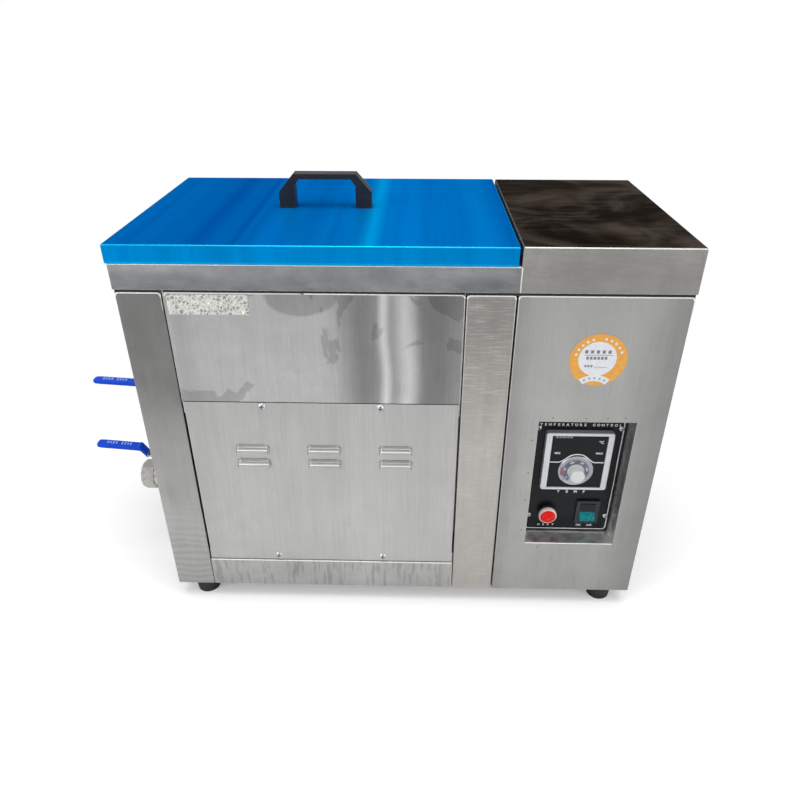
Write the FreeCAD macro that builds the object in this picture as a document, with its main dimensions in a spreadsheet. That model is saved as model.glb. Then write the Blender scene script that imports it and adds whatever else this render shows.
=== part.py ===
import FreeCAD, Part
import Sketcher
import math
import os
import re

from FreeCAD import Placement, Rotation, Vector

# Countertop electric deep fryer with one tank, a lift-off lid and two drain valves.
# The cabinet is drawn with X = 0 in its middle, Y = 0 at the worktop's front skirt and Z = 0
# at the underside of its base. Every piece is then shifted by the same three values, so that
# the origin of the whole part lies in the middle of its footprint, on the table.

# Driving dimensions in millimetres
sizes = {
    "cabinet_width": 535.2,
    "cabinet_depth": 266.0,
    "worktop_height": 395.0,
    "cover_rise": 18.0,
    "control_box_width": 161.0,
    "sheet": 1.0,
    "skirt_drop": 25.0,
    "skirt_clearance": 0.2,
    "fit_gap": 0.2,
    "seat_gap": 0.3,
    "edge_round": 1.8,
    "lip": 12.0,
    "rear_flange": 15.0,
    "post_width": 44.5,
    "middle_post_width": 45.9,
    "post_seam": 1.2,
    "panel_recess": 1.2,
    "panel_side_gap": 0.8,
    "service_side_gap": 1.2,
    "service_low_gap": 1.2,
    "seam_height": 250.0,
    "rail_height": 38.0,
    "fixing_strip": 14.0,
    "panel_screw_spacing": 120.0,
    "panel_screw_diameter": 4.0,
    "panel_screw_head": 8.0,
    "panel_screw_length": 9.0,
    "panel_screw_inset": 4.6,
    "panel_screw_rise": 6.4,
    "louvre_width": 36.0,
    "louvre_height": 10.0,
    "louvre_depth": 3.4,
    "louvre_pitch": 75.2,
    "louvre_row_pitch": 17.8,
    "louvre_top": 199.0,
    "base_flange": 14.0,
    "foot_diameter": 30.0,
    "foot_taper": 2.0,
    "foot_height": 22.0,
    "foot_well": 9.6,
    "foot_inset": 30.0,
    "foot_setback": 21.0,
    "foot_screw_diameter": 6.0,
    "foot_head_diameter": 10.8,
    "foot_head_height": 4.0,
    "foot_nut": 10.0,
    "foot_nut_height": 4.0,
    "tank_wall": 1.2,
    "tank_side_space": 14.0,
    "tank_front_space": 22.0,
    "tank_floor": 52.0,
    "tank_slope": 12.0,
    "tank_flange": 9.0,
    "water_drain_setback": 110.0,
    "water_drain_height": 79.0,
    "oil_drain_setback": 168.0,
    "oil_drain_height": 137.0,
    "drain_pipe_diameter": 27.0,
    "drain_bore": 20.0,
    "valve_length": 58.0,
    "valve_hex": 32.0,
    "valve_hex_length": 16.0,
    "valve_thread_diameter": 25.0,
    "valve_thread_length": 13.0,
    "valve_waist": 4.0,
    "valve_belly": 38.0,
    "valve_neck": 30.08,
    "valve_corner": 1.0,
    "valve_offset": 5.6,
    "ball_diameter": 30.0,
    "ball_clearance": 0.05,
    "ball_slot_width": 3.4,
    "ball_slot_depth": 2.5,
    "stem_diameter": 9.0,
    "stem_clearance": 0.05,
    "stem_key_width": 3.0,
    "stem_key_depth": 2.0,
    "stem_thread_diameter": 6.5,
    "stem_tail": 9.0,
    "bonnet_diameter": 17.0,
    "bonnet_rise": 26.0,
    "lever_rise": 29.0,
    "oil_lever_reach": 95.0,
    "water_lever_reach": 79.3,
    "lever_flat": 18.0,
    "lever_slope": 8.0,
    "lever_lift": 4.5,
    "lever_tail": 10.0,
    "lever_nut": 13.0,
    "lever_nut_height": 5.0,
    "lever_width": 10.5,
    "lever_thickness": 2.2,
    "lever_joggle": 11.0,
    "grip_width": 13.0,
    "grip_thickness": 5.7,
    "grip_clearance": 0.1,
    "element_diameter": 8.0,
    "element_height": 232.0,
    "element_pitch": 40.0,
    "element_end_space": 34.0,
    "element_clearance": 0.3,
    "flange_height": 46.0,
    "flange_thickness": 3.0,
    "flange_margin": 16.0,
    "gasket_thickness": 2.0,
    "flange_bolt_diameter": 6.0,
    "rest_wire": 4.0,
    "rest_margin": 8.0,
    "rest_gaps": 14.0,
    "rest_loop_height": 22.0,
    "rest_loop_wire": 3.2,
    "rest_loop_pitches": 2.0,
    "sensor_diameter": 6.0,
    "sensor_length": 150.0,
    "sensor_height": 185.0,
    "sensor_rear_space": 51.0,
    "sensor_gland_length": 10.0,
    "sensor_gland_hex": 16.0,
    "capillary_diameter": 2.0,
    "capillary_bend": 14.0,
    "recess_width": 98.5,
    "recess_height": 161.4,
    "recess_bottom": 71.0,
    "recess_depth": 24.0,
    "recess_inset": 80.1,
    "recess_flange": 8.0,
    "plate_thickness": 1.0,
    "plate_screw_inset": 6.0,
    "plate_screw_low": 22.0,
    "thermostat_width": 72.0,
    "thermostat_height": 74.0,
    "thermostat_centre_height": 171.5,
    "thermostat_depth": 7.0,
    "thermostat_recess": 1.5,
    "thermostat_case_width": 56.0,
    "bezel_round": 3.0,
    "thermostat_face_width": 59.0,
    "thermostat_face_height": 67.5,
    "thermostat_case_depth": 48.0,
    "dial_diameter": 38.0,
    "dial_height": 160.0,
    "knob_diameter": 18.0,
    "knob_length": 12.0,
    "dial_thickness": 1.4,
    "shaft_diameter": 6.0,
    "shaft_clearance": 0.05,
    "shaft_depth": 8.0,
    "lamp_diameter": 20.0,
    "lamp_bezel": 4.5,
    "lamp_offset": 23.5,
    "lamp_height": 98.0,
    "lamp_reach": 11.5,
    "lamp_collar": 5.0,
    "lamp_barrel": 15.0,
    "lamp_barrel_length": 28.0,
    "lamp_lens_diameter": 13.0,
    "rocker_width": 25.5,
    "rocker_height": 31.0,
    "rocker_offset": 21.5,
    "rocker_centre_height": 100.0,
    "rocker_frame_depth": 3.0,
    "rocker_rim": 2.0,
    "rocker_wall": 2.0,
    "rocker_pin": 3.0,
    "rocker_pivot_depth": 6.0,
    "rocker_well_depth": 8.0,
    "rocker_case_depth": 22.0,
    "rocker_tab": 6.0,
    "rocker_tab_thickness": 0.8,
    "rocker_tab_spacing": 8.0,
    "rocker_tilt": 9.0,
    "rocker_play": 1.9,
    "cutout_setback": 190.0,
    "cutout_height": 300.0,
    "cutout_depth": 22.0,
    "cutout_size": 34.0,
    "cutout_cap_diameter": 16.0,
    "cutout_cap_length": 7.0,
    "cutout_ear": 9.0,
    "cutout_ear_width": 10.0,
    "cutout_ear_thickness": 2.0,
    "contactor_width": 45.0,
    "contactor_length": 78.0,
    "contactor_rise": 82.0,
    "contactor_setback": 110.0,
    "contactor_gap": 26.0,
    "contactor_step": 14.0,
    "contactor_inset": 3.0,
    "contact_screw": 6.0,
    "contact_screw_rise": 2.0,
    "contact_screw_inset": 7.0,
    "terminal_pitch": 14.0,
    "terminal_setback": 150.0,
    "terminal_gap": 22.0,
    "terminal_depth": 30.0,
    "terminal_height": 18.0,
    "terminal_rib": 2.0,
    "terminal_floor": 6.0,
    "terminal_screw_inset": 8.0,
    "terminal_screw_rise": 5.0,
    "wire_diameter": 4.0,
    "wire_bend": 5.0,
    "wire_spacing": 8.0,
    "wire_lead": 14.0,
    "lid_clearance": 0.3,
    "lid_step_gap": 2.6,
    "handle_length": 95.4,
    "handle_height": 34.5,
    "handle_depth": 15.0,
    "handle_leg": 16.3,
    "handle_bar": 5.4,
    "handle_shoulder": 16.5,
    "handle_chamfer": 15.6,
    "handle_screw_diameter": 5.0,
    "handle_round": 1.6,
    "handle_inner_rise": 6.0,
    "handle_inner_run": 5.0,
    "handle_roof": 3.0,
    "label_width": 76.0,
    "label_height": 20.0,
    "label_inset": 3.0,
    "label_drop": 5.0,
    "sticker_diameter": 55.0,
    "sticker_height": 302.5,
    "film_thickness": 0.3,
    "gland_thread": 16.0,
    "gland_bore": 9.0,
    "gland_hex": 22.0,
    "gland_hex_length": 5.0,
    "gland_nut_length": 4.0,
    "gland_cap_wall": 2.5,
    "gland_reach": 20.0,
    "gland_tail": 12.0,
    "gland_height": 60.0,
    "vent_slots": 6.0,
    "vent_width": 60.0,
    "vent_height": 4.0,
    "vent_pitch": 12.0,
}

# Places that follow from the sizes and are used by many pieces
places = {
    "recess_centre": "=cabinet_width / 2 - recess_inset",
    "sensor_setback": "=cabinet_depth - sensor_rear_space",
}

doc = FreeCAD.newDocument("DeepFryer")
sheet = doc.addObject("Spreadsheet::Sheet", "Sizes")
cells = {**sizes, **places}
for row, (alias, size) in enumerate(cells.items(), start=1):
    sheet.set(f"A{row}", alias)
    sheet.set(f"B{row}", str(size))
    sheet.setAlias(f"B{row}", alias)
doc.recompute()

nodes = []


# Expressions are written with the bare names of the sheet's values
def in_sheet(text):
    return re.sub(r"[a-z][a-z_]+", lambda word: f"Sizes.{word[0]}" if word[0] in cells else word[0], text)


def value(text):
    return float(sheet.evalExpression(in_sheet(text)))


def bind(item, prop, text):
    item.setExpression(prop, in_sheet(text))


# Places that several pieces share
wall_out = "(cabinet_width / 2 - sheet - skirt_clearance)"
front = "(sheet + skirt_clearance)"
rear = "(cabinet_depth - sheet - skirt_clearance)"
back_front = f"({rear} - 2 * sheet - fit_gap)"
back_face = f"({rear} - sheet - fit_gap)"
left_tip = f"({wall_out} + valve_offset + valve_length / 2 + max(oil_lever_reach; water_lever_reach))"
front_tip = "(sheet + lid_clearance)"
shift = (f"({left_tip} - cabinet_width / 2) / 2",
         f"({front_tip} - {back_face} - gland_reach) / 2",
         "foot_height")
skirt_bottom = "(worktop_height - skirt_drop)"
low_under = "(worktop_height - sheet)"
high_top = "(worktop_height + cover_rise)"
step_wall = "(cabinet_width / 2 - control_box_width)"
panel_front = f"({front} + panel_recess)"
panel_left = "(-cabinet_width / 2 + post_width)"
post_right = f"({step_wall} - 1.5 * post_seam)"
post_left = f"({post_right} - middle_post_width)"
partition_left = f"({post_right} - sheet)"


def place(item, x="0", y="0", z="0", turn=None):
    if turn is not None:
        item.Placement = Placement(Vector(0, 0, 0), turn)
    for axis, text, move in zip("xyz", (x, y, z), shift):
        bind(item, f"Placement.Base.{axis}", f"{text} + {move}")


def keep(item, label):
    item.Label = label
    nodes.append(item)
    return item


# Part primitives between two corners or along an axis, in the cabinet's frame
def block(low, high):
    item = doc.addObject("Part::Box", "block")
    for prop, start, end in zip(("Length", "Width", "Height"), low, high):
        bind(item, prop, f"({end}) - ({start})")
    for axis, text in zip("xyz", low):
        bind(item, f"Placement.Base.{axis}", text)
    return item


turns = {
    "x": Rotation(Vector(0, 1, 0), 90),
    "y": Rotation(Vector(1, 0, 0), -90),
    "z": Rotation(),
}


def rod(start, axis, diameter, length):
    item = doc.addObject("Part::Cylinder", "rod")
    bind(item, "Radius", f"({diameter}) / 2")
    bind(item, "Height", length)
    item.Placement = Placement(Vector(0, 0, 0), turns[axis])
    for name, text in zip("xyz", start):
        bind(item, f"Placement.Base.{name}", text)
    return item


def fuse(pieces):
    item = doc.addObject("Part::MultiFuse", "fuse")
    item.Shapes = pieces
    item.Refine = True
    return item


def group(pieces):
    item = doc.addObject("Part::Compound", "group")
    item.Links = pieces
    return item


def cut(base, tools):
    item = doc.addObject("Part::Cut", "cut")
    item.Base = base
    item.Tool = tools[0] if len(tools) == 1 else group(tools)
    return item


def shape_node(label, shape, x="0", y="0", z="0", turn=None):
    item = doc.addObject("Part::Feature", label)
    item.Shape = shape
    place(item, x, y, z, turn)
    return keep(item, label)


# PartDesign bodies from sketches whose points are tied to the sheet
def new_body(label):
    body = doc.addObject("PartDesign::Body", label)
    body.AllowCompound = True
    return keep(body, label)


def new_sketch(body, role, offset="0"):
    sketch = body.newObject("Sketcher::SketchObject", "sketch")
    plane = next(item for item in body.Origin.OriginFeatures if item.Role == role)
    sketch.AttachmentSupport = [(plane, "")]
    sketch.MapMode = "FlatFace"
    bind(sketch, "AttachmentOffset.Base.z", offset)
    return sketch


def pin_point(sketch, geometry, position, x, y):
    for kind, text in (("DistanceX", x), ("DistanceY", y)):
        index = sketch.addConstraint(Sketcher.Constraint(kind, -1, 1, geometry, position, value(text)))
        bind(sketch, f"Constraints[{index}]", text)


def polygon(sketch, points):
    corners = [Vector(value(x), value(y), 0) for x, y in points]
    first = sketch.GeometryCount
    for index, corner in enumerate(corners):
        following = corners[(index + 1) % len(corners)]
        sketch.addGeometry(Part.LineSegment(corner, following), False)
    for index, (x, y) in enumerate(points):
        following = first + (index + 1) % len(points)
        sketch.addConstraint(Sketcher.Constraint("Coincident", first + index, 2, following, 1))
        pin_point(sketch, first + index, 1, x, y)


def rectangle(sketch, left, bottom, right, top):
    polygon(sketch, [(left, bottom), (right, bottom), (right, top), (left, top)])


def circle(sketch, x, y, diameter):
    index = sketch.GeometryCount
    centre = Vector(value(x), value(y), 0)
    sketch.addGeometry(Part.Circle(centre, Vector(0, 0, 1), value(diameter) / 2), False)
    pin_point(sketch, index, 3, x, y)
    radius = sketch.addConstraint(Sketcher.Constraint("Radius", index, value(diameter) / 2))
    bind(sketch, f"Constraints[{radius}]", f"({diameter}) / 2")


def pad(body, sketch, length, back=False):
    feature = body.newObject("PartDesign::Pad", "pad")
    feature.Profile = sketch
    feature.Reversed = back
    bind(feature, "Length", length)
    return feature


# A pocket is tested by volume, because one that points away from the solid cuts nothing
def pocket(body, sketch, length, back=False):
    doc.recompute()
    before = body.Shape.Volume
    feature = body.newObject("PartDesign::Pocket", "pocket")
    feature.Profile = sketch
    feature.Reversed = back
    bind(feature, "Length", length)
    doc.recompute()
    if before - feature.Shape.Volume < 1e-3:
        raise RuntimeError(f"a pocket of {body.Label} cuts nothing")
    return feature


def revolve(body, sketch, axis="H_Axis"):
    feature = body.newObject("PartDesign::Revolution", "revolution")
    feature.Profile = sketch
    feature.ReferenceAxis = (sketch, [axis])
    feature.Angle = 360
    return feature


def round_edges(body, radius, wanted):
    doc.recompute()
    base = body.Tip
    names = [f"Edge{count}" for count, edge in enumerate(base.Shape.Edges, start=1) if wanted(edge.BoundBox)]
    feature = body.newObject("PartDesign::Fillet", "fillet")
    feature.Base = (base, names)
    bind(feature, "Radius", radius)
    return feature


def near(one, other):
    return abs(one - other) < 1e-3


# True for an upright edge that stands at one of the given corners
def upright_at(corners):
    spots = [(value(x), value(y)) for x, y in corners]

    def wanted(box):
        flat = box.XLength < 1e-3 and box.YLength < 1e-3
        return flat and any(near(box.XMin, x) and near(box.YMin, y) for x, y in spots)

    return wanted


# Left side panel: one bent sheet with the front post, an inner lip and a rear flange
side_panel = new_body("left_side_panel")
profile = new_sketch(side_panel, "XY_Plane")
polygon(profile, [
    (panel_left, f"{front} + lip"),
    (panel_left, front),
    (f"-{wall_out}", front),
    (f"-{wall_out}", rear),
    (f"-{wall_out} + rear_flange", rear),
    (f"-{wall_out} + rear_flange", f"{rear} - sheet"),
    (f"-{wall_out} + sheet", f"{rear} - sheet"),
    (f"-{wall_out} + sheet", f"{front} + sheet"),
    (f"{panel_left} - sheet", f"{front} + sheet"),
    (f"{panel_left} - sheet", f"{front} + lip"),
])
pad(side_panel, profile, f"{low_under} - fit_gap")
holes = new_sketch(side_panel, "YZ_Plane", f"-{wall_out}")
for drain in ("water", "oil"):
    circle(holes, f"{drain}_drain_setback", f"{drain}_drain_height", "drain_pipe_diameter + 2 * seat_gap")
pocket(side_panel, holes, "sheet", back=True)
round_edges(side_panel, "edge_round", upright_at([
    (panel_left, front), (f"-{wall_out}", front), (f"-{wall_out}", rear)]))
place(side_panel)

# Middle post: a channel between the tank front and the control box
middle_post = new_body("middle_post")
profile = new_sketch(middle_post, "XY_Plane")
polygon(profile, [
    (post_left, f"{front} + lip"),
    (post_left, front),
    (post_right, front),
    (post_right, f"{front} + lip"),
    (f"{post_right} - sheet", f"{front} + lip"),
    (f"{post_right} - sheet", f"{front} + sheet"),
    (f"{post_left} + sheet", f"{front} + sheet"),
    (f"{post_left} + sheet", f"{front} + lip"),
])
pad(middle_post, profile, f"{low_under} - fit_gap")
round_edges(middle_post, "edge_round", upright_at([(post_left, front), (post_right, front)]))
place(middle_post)

# Control box shell: front sheet with the recess opening, right side and rear flange in one
shell_left = f"({post_right} + post_seam)"
recess_left = "(recess_centre - recess_width / 2)"
recess_right = "(recess_centre + recess_width / 2)"
recess_top = "(recess_bottom + recess_height)"
shell = new_body("control_box_shell")
profile = new_sketch(shell, "XY_Plane")
polygon(profile, [
    (shell_left, f"{front} + lip"),
    (shell_left, front),
    (wall_out, front),
    (wall_out, rear),
    (f"{wall_out} - rear_flange", rear),
    (f"{wall_out} - rear_flange", f"{rear} - sheet"),
    (f"{wall_out} - sheet", f"{rear} - sheet"),
    (f"{wall_out} - sheet", f"{front} + sheet"),
    (f"{shell_left} + sheet", f"{front} + sheet"),
    (f"{shell_left} + sheet", f"{front} + lip"),
])
pad(shell, profile, f"{high_top} - sheet - fit_gap")
notch = new_sketch(shell, "XZ_Plane")
rectangle(notch, f"{shell_left} - sheet", f"{low_under} - lip - fit_gap",
          f"{step_wall} + sheet + seat_gap", high_top)
pocket(shell, notch, f"{front} + lip + sheet")
opening = new_sketch(shell, "XZ_Plane")
rectangle(opening, recess_left, "recess_bottom", recess_right, recess_top)
pocket(shell, opening, f"{front} + 2 * sheet")
round_edges(shell, "edge_round", upright_at([(shell_left, front), (wall_out, front), (wall_out, rear)]))
place(shell)

# Upper front panel: its lower edge steps back into a strip that the service panel is screwed to
panel_right = f"({post_left} - panel_side_gap)"
panel_west = f"({panel_left} + panel_side_gap)"
strip_back = f"({panel_front} + 2 * sheet + fit_gap)"
strip_front = f"({panel_front} + sheet + fit_gap)"
panel_back = f"({panel_front} + sheet)"
service_left = f"({panel_west} + service_side_gap)"
service_right = f"({panel_right} - service_side_gap)"
service_low = "(rail_height + service_low_gap)"
service_top = "(seam_height - seat_gap)"
service_middle = f"(({service_left} + {service_right}) / 2)"
screw_rows = (f"{service_low} + panel_screw_rise", f"{service_top} - panel_screw_inset")
screw_columns = (f"{service_middle} - panel_screw_spacing / 2",
                 f"{service_middle} + panel_screw_spacing / 2")
screw_hole = "panel_screw_diameter + 2 * fit_gap"
upper_panel = new_body("upper_front_panel")
profile = new_sketch(upper_panel, "YZ_Plane", panel_west)
polygon(profile, [
    (panel_front, f"{low_under} - fit_gap"),
    (panel_front, "seam_height"),
    (strip_front, "seam_height"),
    (strip_front, "seam_height - fixing_strip"),
    (strip_back, "seam_height - fixing_strip"),
    (strip_back, "seam_height + sheet"),
    (panel_back, "seam_height + sheet"),
    (panel_back, f"{low_under} - fit_gap"),
])
pad(upper_panel, profile, f"{panel_right} - {panel_west}")
holes = new_sketch(upper_panel, "XZ_Plane", f"-{panel_back}")
for column in screw_columns:
    circle(holes, column, screw_rows[1], screw_hole)
pocket(upper_panel, holes, "2 * sheet")
place(upper_panel)

# Bottom rail: the same stepped section the other way up, flush with the posts
rail_back = f"({front} + sheet)"
bottom_rail = new_body("bottom_front_rail")
profile = new_sketch(bottom_rail, "YZ_Plane", panel_west)
polygon(profile, [
    (front, "0"),
    (front, "rail_height"),
    (strip_front, "rail_height"),
    (strip_front, "rail_height + fixing_strip"),
    (strip_back, "rail_height + fixing_strip"),
    (strip_back, "rail_height - sheet"),
    (rail_back, "rail_height - sheet"),
    (rail_back, "0"),
])
pad(bottom_rail, profile, f"{panel_right} - {panel_west}")
holes = new_sketch(bottom_rail, "XZ_Plane", f"-{panel_back}")
for column in screw_columns:
    circle(holes, column, screw_rows[0], screw_hole)
pocket(bottom_rail, holes, "2 * sheet")


def rail_top_edge(box):
    level = near(box.ZMin, value("rail_height")) and near(box.ZMax, box.ZMin)
    return level and near(box.YMin, value(front)) and near(box.YMax, box.YMin)


round_edges(bottom_rail, "edge_round", rail_top_edge)
place(bottom_rail)

# Service panel: a flat cover with punched louvres whose mouths face down
louvre_columns = [f"{service_middle} + {step} * louvre_pitch" for step in (-1, 0, 1)]
louvre_rows = [f"louvre_top - {step} * louvre_row_pitch" for step in (0, 1)]


# One hood: an arched mouth at the bottom that runs up into the sheet, hollow inside
def louvre_hood():
    width = value("louvre_width")
    rise = value("louvre_height")
    depth = value("louvre_depth")
    metal = value("sheet")

    def arch(half, reach, height):
        side = min(half * 0.35, reach * 1.6)
        left = Vector(-half, 0, height)
        right = Vector(half, 0, height)
        left_top = Vector(-half + side, -reach, height)
        right_top = Vector(half - side, -reach, height)
        left_knee = Vector(-half + side * 0.25, -reach * 0.62, height)
        right_knee = Vector(half - side * 0.25, -reach * 0.62, height)
        rooted_left = left + Vector(0, metal / 2, 0)
        rooted_right = right + Vector(0, metal / 2, 0)
        edges = [
            Part.LineSegment(rooted_left, left).toShape(),
            Part.Arc(left, left_knee, left_top).toShape(),
            Part.LineSegment(left_top, right_top).toShape(),
            Part.Arc(right_top, right_knee, right).toShape(),
            Part.LineSegment(right, rooted_right).toShape(),
            Part.LineSegment(rooted_right, rooted_left).toShape(),
        ]
        return Part.Wire(edges)

    knee = rise * 0.6
    bend = arch(width / 2 - depth / 3, depth * 0.75, knee)
    lower = Part.makeLoft([arch(width / 2, depth, 0), bend], True, True)
    upper = Part.makeLoft([arch(width / 2 - depth / 3, depth * 0.75, knee),
                           arch(width / 2 - depth, depth * 0.15, rise)], True, True)
    hollow = Part.makeLoft([arch(width / 2 - metal, depth - metal, -metal),
                            arch(width / 2 - depth / 3 - metal, depth * 0.75 - metal, knee)], True, True)
    return lower.fuse(upper).cut(hollow)


service_panel = block((service_left, panel_front, service_low), (service_right, panel_back, service_top))
hood = louvre_hood()
slots = []
hoods = []
for column in louvre_columns:
    for lower in louvre_rows:
        slots.append(block((f"{column} - louvre_width / 2 + sheet", f"{panel_front} - sheet",
                            f"{lower} - louvre_height"),
                           (f"{column} + louvre_width / 2 - sheet", f"{panel_back} + sheet",
                            f"{lower} - louvre_height / 2")))
        raised = doc.addObject("Part::Feature", "hood")
        raised.Shape = hood
        raised.Placement.Base = Vector(value(column), value(panel_front), value(f"{lower} - louvre_height"))
        hoods.append(raised)
for column in screw_columns:
    for height in screw_rows:
        slots.append(rod((column, f"{panel_front} - sheet", height), "y", screw_hole, "3 * sheet"))
service_panel = keep(fuse([cut(service_panel, slots)] + hoods), "louvred_service_panel")
place(service_panel)

# Base pan: a tray with its flanges turned up inside the walls, with a hole over each foot
foot_places = [(f"{side} * (cabinet_width / 2 - foot_inset)", setback)
               for side in (-1, 1) for setback in ("foot_setback", "cabinet_depth - foot_setback")]
base_gap = "(sheet + fit_gap)"
base_left = f"(-{wall_out} + {base_gap})"
base_right = f"({wall_out} - {base_gap})"
base_front = f"({strip_back} + fit_gap)"
base_rear = f"({rear} - {base_gap})"
base_outer = block((base_left, f"{front} + lip + fit_gap", "0"), (base_right, base_rear, "base_flange"))
base_inner = block((f"{base_left} + sheet", f"{front} + lip + fit_gap + sheet", "sheet"),
                   (f"{base_right} - sheet", f"{base_rear} - sheet", "base_flange + sheet"))
foot_holes = [rod((x, y, "-sheet"), "z", "foot_screw_diameter + 2 * fit_gap", "3 * sheet")
              for x, y in foot_places]
base_pan = keep(cut(base_outer, [base_inner] + foot_holes), "base_pan")
place(base_pan)

# Back panel with cooling slots behind the control box and the cable gland's hole
gland_x = "recess_centre"
gland_z = "gland_height"
back_plate = block((f"-{wall_out} + {base_gap}", back_front, "base_flange + fit_gap"),
                   (f"{wall_out} - {base_gap}", back_face, f"{low_under} - fit_gap"))
vents = []
for step in range(int(value("vent_slots"))):
    height = f"{low_under} - 4 * vent_pitch - {step} * vent_pitch"
    vents.append(block((f"{gland_x} - vent_width / 2", f"{back_front} - sheet", height),
                       (f"{gland_x} + vent_width / 2", f"{back_face} + sheet", f"{height} + vent_height")))
vents.append(rod((gland_x, f"{back_front} - sheet", gland_z), "y",
                 "gland_thread + 2 * fit_gap", "3 * sheet"))
vents.append(block((f"{step_wall} - fit_gap", f"{back_front} - sheet", f"{low_under} - lip - fit_gap"),
                   (f"{step_wall} + sheet + fit_gap", f"{back_face} + sheet", "worktop_height")))
back_panel = keep(cut(back_plate, vents), "back_panel")
place(back_panel)

# Worktop: low part round the tank, skirt on three sides, opening for the tank
tank_left = f"(-{wall_out} + tank_side_space)"
tank_right = f"({partition_left} - tank_side_space)"
tank_front = f"({front} + tank_front_space)"
tank_rear = f"({rear} - tank_front_space)"
worktop_right = f"({step_wall} - fit_gap)"
worktop = new_body("worktop")
outline = new_sketch(worktop, "XY_Plane", skirt_bottom)
rectangle(outline, "-cabinet_width / 2", "0", worktop_right, "cabinet_depth")
pad(worktop, outline, "skirt_drop")
inside = new_sketch(worktop, "XY_Plane", skirt_bottom)
rectangle(inside, "-cabinet_width / 2 + sheet", "sheet", f"{worktop_right} + sheet", "cabinet_depth - sheet")
pocket(worktop, inside, "skirt_drop - sheet", back=True)
opening = new_sketch(worktop, "XY_Plane", f"{low_under} - sheet")
rectangle(opening, f"{tank_left} - fit_gap", f"{tank_front} - fit_gap",
          f"{tank_right} + fit_gap", f"{tank_rear} + fit_gap")
pocket(worktop, opening, "3 * sheet", back=True)


def worktop_outer(box):
    left = near(box.XMin, value("-cabinet_width / 2")) and near(box.XMax, box.XMin)
    sides = near(box.YMin, box.YMax) and (near(box.YMin, 0) or near(box.YMin, value("cabinet_depth")))
    top = near(box.ZMin, value("worktop_height")) and near(box.ZMax, box.ZMin)
    corner = left and sides
    return corner or (top and (left or sides))


round_edges(worktop, "edge_round", worktop_outer)
place(worktop)

# Control box cover: the higher top with a skirt all round and the wall that the lid stops at
cover = new_body("control_box_cover")
outline = new_sketch(cover, "XY_Plane", skirt_bottom)
rectangle(outline, step_wall, "0", "cabinet_width / 2", "cabinet_depth")
pad(cover, outline, "cover_rise + skirt_drop")
inside = new_sketch(cover, "XY_Plane", skirt_bottom)
rectangle(inside, f"{step_wall} + sheet", "sheet", "cabinet_width / 2 - sheet", "cabinet_depth - sheet")
pocket(cover, inside, "cover_rise + skirt_drop - sheet", back=True)
relief = new_sketch(cover, "XZ_Plane", "-sheet")
rectangle(relief, f"{step_wall} - sheet", f"{skirt_bottom} - sheet", f"{step_wall} + sheet",
          f"{low_under} - lip")
pocket(cover, relief, "cabinet_depth - 2 * sheet")


def cover_outer(box):
    left_or_right = near(box.XMin, box.XMax) and (
        near(box.XMin, value(step_wall)) or near(box.XMin, value("cabinet_width / 2")))
    sides = near(box.YMin, box.YMax) and (near(box.YMin, 0) or near(box.YMin, value("cabinet_depth")))
    top = near(box.ZMin, value(high_top)) and near(box.ZMax, box.ZMin)
    right_corner = near(box.XMin, box.XMax) and near(box.XMin, value("cabinet_width / 2")) and sides
    return right_corner or (top and (left_or_right or sides))


round_edges(cover, "edge_round", cover_outer)
place(cover)

# Partition wall between the tank room and the control box, with the heater and sensor holes
partition_top = f"({low_under} - fit_gap)"
partition_front = f"({front} + lip + fit_gap)"
partition_plate = block((partition_left, partition_front, "base_flange"),
                        (f"{partition_left} + sheet", f"{back_front} - fit_gap", partition_top))
partition_foot = block((f"{partition_left}", f"{partition_front} + lip", "sheet"),
                       (f"{partition_left} + lip", f"{back_front} - lip", "2 * sheet"))
partition_web = block((partition_left, f"{partition_front} + lip", "sheet"),
                      (f"{partition_left} + sheet", f"{back_front} - lip", "base_flange + sheet"))
heater_y = "(cabinet_depth / 2)"
heater_rows = [f"{heater_y} + {step} * element_pitch / 2" for step in (-3, -1, 1, 3)]
flange_y = "(3 * element_pitch + 2 * flange_margin)"
partition_cuts = [
    block((f"{partition_left} - sheet", f"{heater_y} - {flange_y} / 2 - fit_gap",
           "element_height - flange_height / 2 - fit_gap"),
          (f"{partition_left} + 2 * sheet", f"{heater_y} + {flange_y} / 2 + fit_gap",
           "element_height + flange_height / 2 + fit_gap")),
    rod((f"{partition_left} - sheet", "sensor_setback", "sensor_height"), "x",
        "3 * sensor_diameter + 6 * sheet", "3 * sheet"),
]
partition_blank = fuse([partition_plate, partition_web, partition_foot])
partition = keep(cut(partition_blank, partition_cuts), "partition_wall")
place(partition)

# Fry tank: walls that stand up through the worktop as the lid's seat, a seating flange under
# the worktop and a floor that falls towards the water drain
tank_top = f"({high_top} - sheet - seat_gap)"
tank = new_body("fry_tank")
outline = new_sketch(tank, "XZ_Plane", f"-{tank_front}")
polygon(outline, [
    (tank_left, "tank_floor"),
    (tank_left, tank_top),
    (tank_right, tank_top),
    (tank_right, "tank_floor + tank_slope"),
])
pad(tank, outline, f"{tank_rear} - {tank_front}", back=True)
rim = new_sketch(tank, "XY_Plane", f"{low_under} - sheet")
rectangle(rim, f"{tank_left} - tank_flange", f"{tank_front} - tank_flange",
          f"{tank_right} + tank_flange", f"{tank_rear} + tank_flange")
pad(tank, rim, "sheet")
hollow = new_sketch(tank, "XZ_Plane", f"-{tank_front} - tank_wall")
polygon(hollow, [
    (f"{tank_left} + tank_wall", "tank_floor + tank_wall"),
    (f"{tank_left} + tank_wall", f"{tank_top} + sheet"),
    (f"{tank_right} - tank_wall", f"{tank_top} + sheet"),
    (f"{tank_right} - tank_wall", "tank_floor + tank_slope + tank_wall"),
])
pocket(tank, hollow, f"{tank_rear} - {tank_front} - 2 * tank_wall")
drains = new_sketch(tank, "YZ_Plane", tank_left)
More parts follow.
